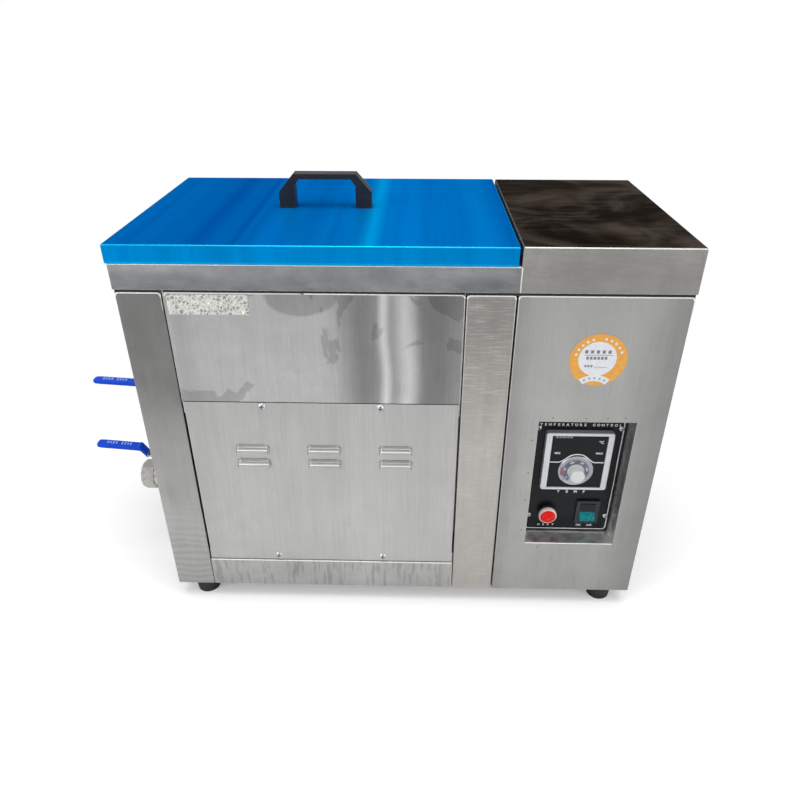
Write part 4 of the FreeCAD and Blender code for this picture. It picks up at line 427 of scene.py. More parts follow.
# Pressed foil: pale creases between duller hollows, a painted highlight on the creases and painted shade in
# the hollows
def crinkled(name, pale, dull):
    material, tree, shader, place = newMaterial(name, pale, 0.34, 0.85)
    creases = addNode(tree, "ShaderNodeTexVoronoi", {"Vector": place, "Scale": 270.0},
                      feature="DISTANCE_TO_EDGE").outputs["Distance"]
    patches = noiseNode(tree, place, 160.0, 3.0)
    hollowShade = times(tree, mapRange(tree, creases, 0.04, 0.22), mapRange(tree, patches, 0.38, 0.58))
    link(tree, mixColor(tree, hollowShade, pale, dull), shader, "Base Color")
    raised = plus(tree, mapRange(tree, creases, 0.2, 0.0), times(tree, patches, 0.6))
    addBump(tree, shader, raised, 0.5, 0.0006)
    link(tree, mapRange(tree, patches, *usual, 0.26, 0.46), shader, "Roughness")
    return material


# Ink or paper: a nearly flat face with faint mottling
def printed(name, color, second, roughness=0.5, size=220.0):
    material, tree, shader, place = newMaterial(name, color, roughness)
    mottle = noiseNode(tree, place, size, 3.0)
    link(tree, mixColor(tree, mapRange(tree, mottle, 0.35, 0.65), color, second), shader, "Base Color")
    link(tree, mapRange(tree, mottle, *usual, roughness - 0.05, roughness + 0.08), shader, "Roughness")
    return material


# Coloured clear plastic that glows a little from within; over a given height it can be painted dark, as
# shade
def tinted(name, color, deep, glow, strength=0.12, shadedUpperPart=None):
    material, tree, shader, place = newMaterial(name, color, 0.12, 0.0, Specular_IOR_Level=0.25,
                                                Subsurface_Weight=0.25, Subsurface_Scale=0.004)
    rib = noiseNode(tree, place, 420.0)
    body = mixColor(tree, mapRange(tree, rib, *usual), color, deep)
    light = mixColor(tree, mapRange(tree, rib, *usual), glow, deep)
    if shadedUpperPart:
        start, end, dark = shadedUpperPart
        spot = axes(tree, place)
        share = mapRange(tree, spot["Z"], start, end)
        body = mixColor(tree, share, body, dark)
        light = mixColor(tree, share, light, (0.0, 0.0, 0.0))
    link(tree, body, shader, "Base Color")
    link(tree, light, shader, "Emission Color")
    shader.inputs["Emission Strength"].default_value = strength
    return material


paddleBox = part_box("rocker_paddle")
paddleMiddle = (paddleBox[0].z + paddleBox[1].z) / 2
platedLooks = {
    "bentEdge": ((0.86, 0.86, 0.85), 0.42, (0.7, 0.69, 0.67), 0.55),
    "softEdge": ((0.55, 0.545, 0.53), 0.42, (0.42, 0.41, 0.39), 0.7, 0.1),
    "weldDot": ((0.12, 0.115, 0.105), 0.5, (0.08, 0.075, 0.07), 1.0, 0.1),
    "elementSheath": ((0.26, 0.25, 0.24), 0.4, (0.18, 0.15, 0.12)),
    "silverBezel": ((0.66, 0.67, 0.69), 0.36, (0.5, 0.5, 0.52), 0.6),
    "dialSilver": ((0.42, 0.41, 0.45), 0.3, (0.30, 0.29, 0.34), 0.7),
    "valveNickel": ((0.58, 0.565, 0.54), 0.24, (0.40, 0.375, 0.33)),
    "fastener": ((0.62, 0.64, 0.66), 0.3, (0.4, 0.40, 0.40)),
    "brassFitting": ((0.70, 0.52, 0.22), 0.3, (0.5, 0.36, 0.15)),
}
mouldedLooks = {
    "blackPlastic": ((0.010, 0.012, 0.016), (0.05, 0.055, 0.065), 0.38),
    "creamKnob": ((0.62, 0.63, 0.62), (0.52, 0.50, 0.45), 0.25, 0.05),
    "lampTrim": ((0.78, 0.55, 0.53), (0.65, 0.45, 0.43), 0.28, 0.05),
    "footRubber": ((0.011, 0.011, 0.011), (0.05, 0.05, 0.048), 0.6),
    "electricBody": ((0.72, 0.71, 0.66), (0.55, 0.53, 0.48), 0.5),
    "wireCover": ((0.05, 0.05, 0.05), (0.12, 0.12, 0.12), 0.4),
    "glandNylon": ((0.02, 0.02, 0.02), (0.08, 0.08, 0.08), 0.45),
}
printedLooks = {
    "seamShadow": ((0.012, 0.012, 0.012), (0.022, 0.021, 0.02), 0.8),
    "dialInk": ((0.10, 0.12, 0.19), (0.20, 0.21, 0.26)),
    "whiteInk": ((0.84, 0.85, 0.85), (0.70, 0.71, 0.72)),
    "redInk": ((0.50, 0.10, 0.10), (0.36, 0.06, 0.07)),
    "blueInk": ((0.03, 0.04, 0.10), (0.07, 0.08, 0.16)),
    "greyInk": ((0.14, 0.15, 0.17), (0.22, 0.23, 0.25)),
    "orangePaper": ((0.76, 0.37, 0.06), (0.70, 0.32, 0.045), 0.35),
    "whitePaper": ((0.72, 0.74, 0.78), (0.66, 0.68, 0.72), 0.35),
}
finishes = {
    "leftPost": sheetSteel("leftPost", 0.21, 0.42, (0.30, 0.13), 0.07, 0.10, 8.0, masks=footStrokes,
                           fadeWobble=0.07),
    "upperPanel": sheetSteel("upperPanel", 0.44, 0.47, (0.40, 0.28), 0.07, 0.10, 16.0, masks=dampPatches,
                             rough=(0.24, 0.38), tint=(0.995, 1.0, 1.0),
                             columns=((0.024, 0.035, 0.55), (0.044, 0.008, 1.9), (0.095, 0.055, 0.5),
                                      (0.068, 0.016, 1.9), (-0.145, 0.02, 0.85))),
    "servicePanel": sheetSteel("servicePanel", 0.46, 0.51, (0.26, 0.10), 0.04, 0.05, 12.0,
                               columns=((-0.15, 0.02, 0.94), (0.03, 0.05, 1.05))),
    "bottomRail": sheetSteel("bottomRail", 0.47, 0.43, (0.06, 0.03), 0.08, 0.1, 20.0, masks=driedRuns),
    "middlePost": sheetSteel("middlePost", 0.31, 0.47, (0.36, 0.20), 0.06, 0.1, 14.0, masks=levelScratches,
                             tint=(1.0, 0.965, 0.91)),
    "controlFront": sheetSteel("controlFront", 0.42, 0.39, (0.40, 0.06), 0.06, 0.08, 8.0,
                               columns=((0.335, 0.055, 0.72), (0.17, 0.02, 0.85), (0.215, 0.03, 1.06))),
    "lowSkirt": sheetSteel("lowSkirt", 0.37, 0.26, (0.415, 0.394), 0.30, 0.26, 9.0, (0.05, 1, 1),
                           masks=skirtShades, tint=(0.98, 0.995, 1.02)),
    "plainSteel": sheetSteel("plainSteel", 0.44, 0.40, rough=(0.34, 0.5)),
    # The recess sill is painted bright lower down: painted light reflected from above
    "recessSteel": sheetSteel("recessSteel", 0.58, 0.99, (0.135, 0.112), 0.2, 0.2, 60.0, rough=(0.3, 0.46)),
    "coverSteel": coverSteel(),
    "tankSteel": sheetSteel("tankSteel", 0.62, 0.55, (0.40, 0.10), tint=(1.0, 0.985, 0.96)),
    "blueFilm": blueFilm(),
    "controlBlack": moulded("controlBlack", (0.003, 0.005, 0.0075), (0.012, 0.015, 0.019), 0.3, 0.1,
                            Specular_IOR_Level=0.22),
    "redLens": tinted("redLens", (0.66, 0.0, 0.0), (0.46, 0.0, 0.0), (0.9, 0.0, 0.0), 0.2),
    # The switch paddle is no lamp: its glow is painted light, and its upper half is painted dark as shade
    "greenRocker": tinted("greenRocker", (0.006, 0.20, 0.22), (0.0, 0.10, 0.12), (0.02, 0.42, 0.42), 0.14,
                          (paddleMiddle - 0.0006, paddleMiddle + 0.0006, (0.004, 0.012, 0.013))),
    "blueVinyl": moulded("blueVinyl", (0.0, 0.06, 0.6), (0.0, 0.13, 0.74), 0.3, 0.05,
                         Specular_IOR_Level=0.2),
    "vinylMark": moulded("vinylMark", (0.30, 0.50, 0.85), (0.45, 0.6, 0.9), 0.25, 0.02, Coat_Weight=0.5),
    "foil": crinkled("foil", (0.76, 0.75, 0.72), (0.34, 0.33, 0.30)),
}
for make, looks in ((plated, platedLooks), (moulded, mouldedLooks), (printed, printedLooks)):
    finishes.update({name: make(name, *look) for name, look in looks.items()})

# Which CAD piece wears which finish
worn = {
    "leftPost": ["left_side_panel"],
    "upperPanel": ["upper_front_panel"],
    "servicePanel": ["louvred_service_panel"],
    "bottomRail": ["bottom_front_rail"],
    "middlePost": ["middle_post"],
    "controlFront": ["control_box_shell"],
    "recessSteel": ["recess_box"],
    "lowSkirt": ["worktop"],
    "plainSteel": ["base_pan", "back_panel", "partition_wall"],
    "coverSteel": ["control_box_cover"],
    "tankSteel": ["fry_tank", "element_rest", "rest_handles", "element_flange", "oil_drain_pipe",
                  "water_drain_pipe", "temperature_sensor"],
    "elementSheath": ["heating_element"],
    "blueFilm": ["lid_shell"],
    "blackPlastic": ["lid_handle", "lamp_body", "rocker_frame", "thermostat_case"],
    "controlBlack": ["control_plate", "thermostat_face"],
    "silverBezel": ["thermostat_bezel"],
    "dialSilver": ["thermostat_dial"],
    "creamKnob": ["thermostat_knob"],
    "lampTrim": ["lamp_ring"],
    "redLens": ["lamp_lens"],
    "greenRocker": ["rocker_paddle"],
    "valveNickel": ["oil_valve_body", "water_valve_body", "oil_valve_stem", "water_valve_stem",
                    "oil_valve_lever", "water_valve_lever", "oil_valve_ball", "water_valve_ball"],
    "blueVinyl": ["oil_valve_grip", "water_valve_grip"],
    "footRubber": ["rubber_feet", "element_gasket"],
    "fastener": ["service_panel_screws", "control_plate_screws", "foot_screws", "lid_handle_screws",
                 "element_nuts"],
    "foil": ["foil_label"],
    "orangePaper": ["round_sticker"],
    "brassFitting": ["sensor_gland"],
    "electricBody": ["contactor", "terminal_block", "overheat_cutout"],
    "wireCover": ["wiring"],
    "glandNylon": ["cable_gland", "gland_lock_nut"],
}
for finish, names in worn.items():
    for name in names:
        for place in cadNodes[name].material_slots:
            place.material = finishes[finish]
print("stage: materials", len(finishes), "on", sum(map(len, worn.values())), "nodes of", len(cadNodes))


# Lengths given in millimetres, turned into the metres of the frame
def inMm(**lengths):
    return {name: tuple(part * mm for part in entry) if isinstance(entry, tuple) else entry * mm
            for name, entry in lengths.items()}


def newPiece(name, mesh, finish, body):
    piece = addObject(name, mesh)
    mesh.materials.clear()
    mesh.materials.append(finishes[finish])
    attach(piece, body)
    return piece


def finishMesh(name, builder, smooth=False):
    bmesh.ops.recalc_face_normals(builder, faces=builder.faces)
    for side in builder.faces:
        side.smooth = smooth
    mesh = bpy.data.meshes.new(name)
    builder.to_mesh(mesh)
    builder.free()
    return mesh


# Flat shapes on an upright face: outlines in X and Z, standing proud of the face at depth y
def flatPiece(name, outlines, y, thick, finish, slotName, body="cabinet"):
    builder = bmesh.new()
    for outline in outlines:
        front = [builder.verts.new((x, y - thick, z)) for x, z in outline]
        back = [builder.verts.new((x, y, z)) for x, z in outline]
        builder.faces.new(front)
        builder.faces.new(list(reversed(back)))
        for index in range(len(outline)):
            after = (index + 1) % len(outline)
            builder.faces.new([front[after], front[index], back[index], back[after]])
    return newPiece(name, finishMesh(name, builder), finish, body)


def barOutline(left, low, right, top):
    return [(left, low), (right, low), (right, top), (left, top)]


# A stretch of ring, from one clock angle to another in degrees
def arcBand(x, z, inner, outer, start, end, steps):
    angles = [radians(start + (end - start) * step / steps) for step in range(steps + 1)]
    rim = [(x + outer * sin(angle), z + outer * cos(angle)) for angle in angles]
    hub = [(x + inner * sin(angle), z + inner * cos(angle)) for angle in reversed(angles)]
    return rim + hub


def discOutline(x, z, radius, steps=48):
    angles = [2 * pi * step / steps for step in range(steps)]
    return [(x + radius * sin(angle), z + radius * cos(angle)) for angle in angles]


# A band of even width along a line of X and Z points
def ribbon(points, width):
    left, right = [], []
    for index, (x, z) in enumerate(points):
        before = points[max(index - 1, 0)]
        after = points[min(index + 1, len(points) - 1)]
        run = Vector((after[0] - before[0], after[1] - before[1])).normalized()
        left.append((x - run.y * width / 2, z + run.x * width / 2))
        right.append((x + run.y * width / 2, z - run.x * width / 2))
    return left + list(reversed(right))


# The closed line of a rectangle with rounded corners
def roundedPath(left, low, right, top, radius, steps=5):
    corners = ((right - radius, top - radius, 0), (right - radius, low + radius, 90),
               (left + radius, low + radius, 180), (left + radius, top - radius, 270))
    path = []
    for x, z, start in corners:
        for step in range(steps + 1):
            angle = radians(start + 90 * step / steps)
            path.append((x + radius * sin(angle), z + radius * cos(angle)))
    return path


# A round bead along a line of points, with domed ends
def beadPiece(name, lines, radius, finish="bentEdge", sides=8):
    builder = bmesh.new()
    for line in lines:
        points = [Vector(point) for point in line]
        rings = []
        for index, point in enumerate(points):
            before = points[max(index - 1, 0)]
            after = points[min(index + 1, len(points) - 1)]
            run = (after - before).normalized()
            side = run.cross(Vector((0, 1, 0)))
            side = side.normalized() if side.length > 0.01 else Vector((0, 0, 1))
            other = run.cross(side).normalized()
            angles = [2 * pi * step / sides for step in range(sides)]
            rings.append([builder.verts.new(point + radius * (side * cos(angle) + other * sin(angle)))
                          for angle in angles])
        for near, far in zip(rings, rings[1:]):
            for step in range(sides):
                after = (step + 1) % sides
                builder.faces.new([near[step], near[after], far[after], far[step]])
        for ring, point, outward in ((rings[0], points[0], points[0] - points[1]),
                                     (rings[-1], points[-1], points[-1] - points[-2])):
            tip = builder.verts.new(point + outward.normalized() * radius)
            for step in range(sides):
                builder.faces.new([ring[step], ring[(step + 1) % sides], tip])
    return newPiece(name, finishMesh(name, builder, True), finish, "cabinet")


# Short words and numbers, made as outlines of the built-in face and laid on an upright surface
def wordPiece(name, texts, y, thick, finish, slotName, body="cabinet"):
    builder = bmesh.new()
    for text, x, z, size, turn in texts:
        curve = bpy.data.curves.new("letters", "FONT")
        curve.body = text
        curve.size = size
        curve.align_x = "CENTER"
        curve.align_y = "CENTER"
        curve.offset = size * 0.03
        curve.extrude = thick / 2
        curve.resolution_u = 2
        holder = addObject("letters", curve)
        bpy.context.view_layer.update()
        mesh = bpy.data.meshes.new_from_object(holder.evaluated_get(bpy.context.evaluated_depsgraph_get()))
        upright = Matrix.Rotation(radians(90), 4, "X")
        spin = Matrix.Rotation(turn, 4, "Y")
        mesh.transform(Matrix.Translation((x, y - thick / 2, z)) @ spin @ upright)
        builder.from_mesh(mesh)
        bpy.data.objects.remove(holder)
        bpy.data.curves.remove(curve)
        bpy.data.meshes.remove(mesh)
    bmesh.ops.remove_doubles(builder, verts=builder.verts, dist=1e-7)
    return newPiece(name, finishMesh(name, builder), finish, body)


# How high a CAD piece's own surface lies over a point, found by looking straight down at it
def surfaceFinder(node):
    mesh = cadNodes[node].data
    tree = BVHTree.FromPolygons([vert.co.copy() for vert in mesh.vertices],
                                [tuple(side.vertices) for side in mesh.polygons])

    def heightAt(x, y, fallback):
        hit = tree.ray_cast(Vector((x, y, 1.0)), Vector((0, 0, -1)))
        return hit[0].z if hit[0] is not None else fallback
    return heightAt


# Bent edges of the sheets, with painted highlights. Each sheet's top shows a rounded bead just under the
# skirt
beads = inMm(radius=0.8, corner=3.0, drop=3.5, notch=(-29.8, -26.2), sink=0.3, legRadius=0.45, legSink=0.1,
             legEnd=24, shortLeg=14)
cornerSteps = [radians(90 * step / 5) for step in range(6)]
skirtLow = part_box("worktop")[0].z
inset = beads["radius"]
beadTop = skirtLow - beads["drop"]
legTop = beadTop - beads["corner"]
shortEnd = legTop - beads["shortLeg"]
post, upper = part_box("left_side_panel"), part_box("upper_front_panel")
middle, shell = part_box("middle_post"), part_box("control_box_shell")
service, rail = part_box("louvred_service_panel"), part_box("bottom_front_rail")


def topBead(box, left, right, leftCorner=True, rightCorner=True):
    y = box[0].y + beads["sink"]
    radius = beads["corner"]
    rising = [(left + radius - radius * cos(angle), y, legTop + radius * sin(angle))
              for angle in cornerSteps]
    falling = [(right - radius + radius * sin(angle), y, legTop + radius * cos(angle))
               for angle in cornerSteps]
    start = rising if leftCorner else [(left, y, beadTop)]
    return start + (falling if rightCorner else [(right, y, beadTop)])


def wholeBead(box):
    return [topBead(box, box[0].x + inset, box[1].x - inset)]


sheetBeads = {
    "leftPost": (post, wholeBead(post), ((post[1].x - inset, shortEnd),)),
    "upperPanel": (upper, [topBead(upper, upper[0].x + 2 * inset, beads["notch"][0], True, False),
                           topBead(upper, beads["notch"][1], upper[1].x - inset, False, True)],
                   ((upper[1].x - inset, service[1].z),)),
    "middlePost": (middle, wholeBead(middle), ((middle[0].x + inset, beads["legEnd"]),
                                               (middle[1].x - inset, beads["legEnd"]))),
    "controlFront": (shell, wholeBead(shell), ((shell[0].x + inset, beads["legEnd"]),
                                               (shell[1].x - inset, shortEnd))),
}
for name, (box, tops, legs) in sheetBeads.items():
    beadPiece(f"{name}TopBead", tops, beads["radius"])
    y = box[0].y + beads["legSink"]
    lines = [[(x, y, legTop), (x, y, low)] for x, low in legs]
    beadPiece(f"{name}Legs", lines, beads["legRadius"], "softEdge")

# Painted highlight lines along the folded edges of the skirt, the cover, the sill and the rail
worktop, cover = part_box("worktop"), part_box("control_box_cover")
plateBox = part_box("control_plate")
folds = inMm(radius=0.62, end=1, near=0.5, skirtSink=0.3, skirtDrop=0.75, sink=0.25, coverDrop=0.8,
             sillSink=0.2, sillDrop=0.35, sillSide=0.4, railDrop=1.6)
coverY, cornerX = cover[0].y + folds["sink"], cover[0].x + folds["near"]
skirtY, skirtZ = worktop[0].y + folds["skirtSink"], worktop[1].z - folds["skirtDrop"]
coverZ = cover[1].z - folds["coverDrop"]
sillY, sillZ = shell[0].y + folds["sillSink"], plateBox[0].z - folds["sillDrop"]
railY, railZ = rail[0].y + folds["sink"], service[0].z - folds["railDrop"]
levelLines = {
    "skirtFoldLine": (worktop, folds["end"], folds["near"], skirtY, skirtZ),
    "coverFoldLine": (cover, folds["end"], folds["end"], coverY, coverZ),
    "sillLine": (plateBox, folds["sillSide"], folds["sillSide"], sillY, sillZ),
    "railFoldLine": (rail, folds["end"], folds["end"], railY, railZ),
}
for name, (box, atLeft, atRight, y, z) in levelLines.items():
    beadPiece(name, [((box[0].x + atLeft, y, z), (box[1].x - atRight, y, z))], folds["radius"])
beadPiece("coverCornerLine", [((cornerX, coverY, skirtLow + folds["coverDrop"]),
                               (cornerX, coverY, worktop[1].z - folds["end"]))], folds["radius"])

# Louvre hoods: painted highlights on their brows, over painted shade at their mouths
louvres = inMm(middles=(-93.1, -17.9, 57.3), mouths=(193.2, 211.0), half=17.2, rise=7.6, corner=2.0,
               rim=0.55, rimSink=1.6, brow=0.85, browAt=3.9, browSink=1.15, browEnd=1.6, mouth=1.2,
               mouthEnd=0.6, ink=0.08)
rims, brows, mouths = [], [], []
for column in louvres["middles"]:
    for mouth in louvres["mouths"]:
        left, right = column - louvres["half"], column + louvres["half"]
        y, browY = service[0].y + louvres["rimSink"], service[0].y + louvres["browSink"]
        top, corner, bit = mouth + louvres["rise"], louvres["corner"], 0.3 * louvres["corner"]
        rims.append([(left, y, mouth), (left, y, top - corner), (left + bit, y, top - bit),
                     (left + corner, y, top), (right - corner, y, top), (right - bit, y, top - bit),
                     (right, y, top - corner), (right, y, mouth)])
        level = mouth + louvres["browAt"]
        brows.append([(left + louvres["browEnd"], browY, level), (right - louvres["browEnd"], browY, level)])
        end = louvres["mouthEnd"]
        mouths.append(barOutline(left + end, mouth - louvres["mouth"], right - end, mouth))
beadPiece("louvreRims", rims, louvres["rim"], "softEdge")
beadPiece("louvreBrowHighlights", brows, louvres["brow"])
flatPiece("louvreMouthShadows", mouths, post[0].y, louvres["ink"], "seamShadow", "stainless")

# Painted shadow lines under the skirt, and a dark seam over the service panel
seams = inMm(underSkirt=2.9, overPanel=(0.15, 1.0), proud=0.05, end=1)
shadowLineZ = skirtLow - seams["underSkirt"]
skirtShadowLine = [barOutline(post[0].x + seams["end"], shadowLineZ, post[1].x, skirtLow),
             barOutline(middle[0].x, shadowLineZ, shell[1].x - seams["end"], skirtLow)]
flatPiece("skirtShadowLine", skirtShadowLine, post[0].y, seams["proud"], "seamShadow", "stainless")
panelSeam = [service[1].z + edge for edge in seams["overPanel"]]
upperShadowAndSeam = [barOutline(upper[0].x + seams["end"], shadowLineZ, upper[1].x - seams["end"], skirtLow),
              barOutline(service[0].x, panelSeam[0], service[1].x, panelSeam[1])]
flatPiece("upperShadowAndSeam", upperShadowAndSeam, upper[0].y, seams["proud"], "seamShadow", "stainless")

# Small marks of the spot welds that hold the recess tray behind the front, in millimetres
welds = {**inMm(radius=0.75, proud=0.06), "sides": 12,
         "above": ((216.0, 258.9), (249.6, 258.9), (270.9, 259.2), (288.8, 259.2)),
         "beside": ((197.5, 231.7), (197.5, 190.5), (197.6, 154.1), (197.2, 111.7), (217.4, 87.0))}
dots = [discOutline(x * mm, z * mm, welds["radius"], welds["sides"])
        for x, z in welds["above"] + welds["beside"]]
flatPiece("weldMarks", dots, shell[0].y, welds["proud"], "weldDot", "stainless")
print("stage: edges, seams and welds")


# Letters of a word, each in its own place along a level line
def spaced(word, x, z, size, pitch):
    half = (len(word) - 1) / 2
    return [(letter, x + (index - half) * pitch, z, size, 0.0)
            for index, letter in enumerate(word) if letter != " "]


def middleOf(box):
    return (box[0].x + box[1].x) / 2, (box[0].z + box[1].z) / 2


# Print on the control plate: a rounded frame line and short plain words
plateFront = plateBox[0].y
plate = inMm(side=3.4, low=2.4, radius=4.0, line=1.0, ink=0.08, heading=4.3, headingPitch=4.6,
             headingLift=6.2, label=4.6, labelPitch=9.4, labelShift=0.5, labelDrop=7.6, small=3.6,
             smallPitch=5.4, smallDrop=9.0, heatShift=0.7, onShift=-7.0, offShift=5.5)
frameLine = roundedPath(plateBox[0].x + plate["side"], plateBox[0].z + plate["low"],
                        plateBox[1].x - plate["side"], plateBox[1].z - plate["low"], plate["radius"])
frameLine = ribbon(frameLine + frameLine[:2], plate["line"])
flatPiece("plateFrameLine", [frameLine], plateFront, plate["ink"], "whiteInk", "control_black")
faceBox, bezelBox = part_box("thermostat_face"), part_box("thermostat_bezel")
lampBox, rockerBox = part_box("lamp_ring"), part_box("rocker_frame")
plateMiddle, lampMiddle, rockerMiddle = middleOf(faceBox)[0], middleOf(lampBox)[0], middleOf(rockerBox)[0]
smallLevel = lampBox[0].z - plate["smallDrop"]
words = spaced("TEMPERATURE CONTROL", plateMiddle, bezelBox[1].z + plate["headingLift"], plate["heading"],
               plate["headingPitch"])
words += spaced("TEMP", plateMiddle + plate["labelShift"], bezelBox[0].z - plate["labelDrop"],
                plate["label"], plate["labelPitch"])
words += spaced("HEAT", lampMiddle + plate["heatShift"], smallLevel, plate["small"],
                plate["smallPitch"])
words += [("ON", rockerMiddle + plate["onShift"], smallLevel, plate["small"], 0.0),
          ("OFF", rockerMiddle + plate["offShift"], smallLevel, plate["small"], 0.0)]
wordPiece("plateWords", words, plateFront, plate["ink"], "whiteInk", "control_black")

# Domed lens that covers most of the lamp's ring
lens = {**inMm(radius=8.5, rise=1.5), "rings": 6, "sides": 32}
builder = bmesh.new()
lensCentre = Vector((lampMiddle, lampBox[0].y, middleOf(lampBox)[1]))
lensRings = []
for ring in range(lens["rings"]):
    angle = radians(90 * ring / lens["rings"])
    reach, depth = lens["radius"] * cos(angle), lens["rise"] * sin(angle)
    lensRings.append([builder.verts.new(lensCentre + Vector((
        reach * sin(2 * pi * side / lens["sides"]), -depth,
        reach * cos(2 * pi * side / lens["sides"])))) for side in range(lens["sides"])])
lensTip = builder.verts.new(lensCentre - Vector((0, lens["rise"], 0)))
for side in range(lens["sides"]):
    after = (side + 1) % lens["sides"]
    for near, far in zip(lensRings, lensRings[1:]):
        builder.faces.new([near[side], near[after], far[after], far[side]])
    builder.faces.new([lensRings[-1][side], lensRings[-1][after], lensTip])
builder.faces.new(list(reversed(lensRings[0])))
newPiece("lensDome", finishMesh("lensDome", builder, True), "redLens", "cabinet")

# Print on the thermostat's face: an arched line over the dial, a small heading and MIN and MAX
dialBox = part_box("thermostat_dial")
dialX, dialZ = middleOf(dialBox)
face = {**inMm(level=10.6, rise=10.2, reach=19.5, line=1.25, ink=0.08, margin=0.6, block=(3.1, 2.6),
               blockStart=3.6, blockPitch=3.7, blockTop=1.0, unit=(-6.4, -8.6), unitSize=4.8,
               least=(7.4, 22.2), most=(-6.8, 22.4), ends=3.4),
        "steps": 28, "blocks": 5, "sharpness": 1.35}
archLine = []
archStart = faceBox[0].x + face["margin"]
archSpan = faceBox[1].x - faceBox[0].x - 2 * face["margin"]
for step in range(face["steps"] + 1):
    x = archStart + step / face["steps"] * archSpan
    away = min(abs(x - dialX) / face["reach"], 1.0)
    swell = 0.5 + 0.5 * cos(pi * away ** face["sharpness"])
    archLine.append((x, dialZ + face["level"] + face["rise"] * swell))
flatPiece("faceArchLine", [ribbon(archLine, face["line"])], faceBox[0].y, face["ink"], "whiteInk",
          "control_black")
blockTop = faceBox[1].z - face["blockTop"]
blockRow = []
for index in range(face["blocks"]):
    left = faceBox[0].x + face["blockStart"] + index * face["blockPitch"]
    blockRow.append(barOutline(left, blockTop - face["block"][1], left + face["block"][0], blockTop))
flatPiece("faceBlocks", blockRow, faceBox[0].y, face["ink"], "greyInk", "control_black")
unitX, unitZ = face["unit"]
faceWords = [("°C", faceBox[1].x + unitX, faceBox[1].z + unitZ, face["unitSize"], 0.0),
             ("MIN", faceBox[0].x + face["least"][0], dialZ + face["least"][1], face["ends"], 0.0),
             ("MAX", faceBox[1].x + face["most"][0], dialZ + face["most"][1], face["ends"], 0.0)]
wordPiece("faceWords", faceWords, faceBox[0].y, face["ink"], "whiteInk", "control_black")

# Print on the dial: a dark ring with pale numbers, ticks round it and a red stretch on the left
dialMarks = {**inMm(ink=0.07, ring=(9.2, 14.6), redOuter=16.6, tickInner=15.2, tickOuter=16.8,
                    longTick=17.8, tickWidth=0.36, numberAt=12.0, numberSize=3.0),
             "ringTurn": 150, "red": (-112, -72), "turn": 130, "ticks": 25,
             "numbers": (0, 50, 100, 150, 200, 250)}
dial = ("silver_bezel", "thermostat_control")
dialY, ringOuter = dialBox[0].y, dialMarks["ring"][1]
dialRing = [arcBand(dialX, dialZ, *dialMarks["ring"], -dialMarks["ringTurn"], dialMarks["ringTurn"], 48)]
flatPiece("dialRing", dialRing, dialY, dialMarks["ink"], "dialInk", *dial)
redBand = [arcBand(dialX, dialZ, ringOuter, dialMarks["redOuter"], *dialMarks["red"], 10)]
flatPiece("dialRedBand", redBand, dialY, dialMarks["ink"] * 0.6, "redInk", *dial)


def dialTurn(share):
    return radians(dialMarks["turn"] * (2 * share - 1))


ticks = []
for step in range(dialMarks["ticks"] + 1):
    angle = dialTurn(step / dialMarks["ticks"])
    outer = dialMarks["longTick"] if step % 5 == 0 else dialMarks["tickOuter"]
    ticks.append(ribbon([(dialX + reach * sin(angle), dialZ + reach * cos(angle))
                         for reach in (dialMarks["tickInner"], outer)], dialMarks["tickWidth"]))
flatPiece("dialTicks", ticks, dialY, dialMarks["ink"] * 1.4, "blueInk", *dial)
numbers = []
for index, number in enumerate(dialMarks["numbers"]):
    angle = dialTurn(index / (len(dialMarks["numbers"]) - 1))
    numbers.append((str(number), dialX + dialMarks["numberAt"] * sin(angle),
                    dialZ + dialMarks["numberAt"] * cos(angle), dialMarks["numberSize"], angle))
wordPiece("dialNumbers", numbers, dialY - dialMarks["ink"], dialMarks["ink"], "whiteInk", *dial)
print("stage: print on the controls")

# Round inspection sticker: orange ring, white middle, white ribbon, plain marks for words.
# A row of marks has its columns, then the left, right, low and high edges of a mark, in millimetres
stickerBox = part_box("round_sticker")
stickerX, stickerZ = middleOf(stickerBox)
sticker = {**inMm(white=18.2, shift=1.0, lift=1.2, ink=0.06, ribbon=(17.6, 24.3), ribbonDrop=40.2,
                  ribbonDots=20.9, ribbonDot=1.0, ringDots=22.6, ringDot=1.35),
           "ribbonTurn": 38, "dotSides": 10}
stickerRows = (((-11, -5.5, 0, 5.5, 11), -1.7, 1.2, 6.0, 9.4), ((0,), -13, 14, 4.0, 4.5),
               ((-9.5, -6, -2.5, 1, 4.5, 8), -1.3, 1.1, -0.4, 2.6),
               ((-10.5, -7.6, -4.7), -1.0, 1.0, -8.6, -6.4), ((0,), -2.5, 10, -8.8, -8.4))
middleX, middleZ = stickerX - sticker["shift"], stickerZ + sticker["lift"]
ribbonZ = stickerZ - sticker["ribbonDrop"]
flatPiece("stickerMiddle", [discOutline(middleX, middleZ, sticker["white"])], stickerBox[0].y,
          sticker["ink"], "whitePaper", "sticker_paper")
turn = sticker["ribbonTurn"]
ribbonShape = [arcBand(middleX, ribbonZ, *sticker["ribbon"], -turn, turn, 20)]
flatPiece("stickerRibbon", ribbonShape, stickerBox[0].y - sticker["ink"], sticker["ink"], "whitePaper",
          "sticker_paper")


def dotsAround(x, z, reach, radius, angles):
    return [discOutline(x + reach * sin(radians(angle)), z + reach * cos(radians(angle)),
                        radius, sticker["dotSides"]) for angle in angles]


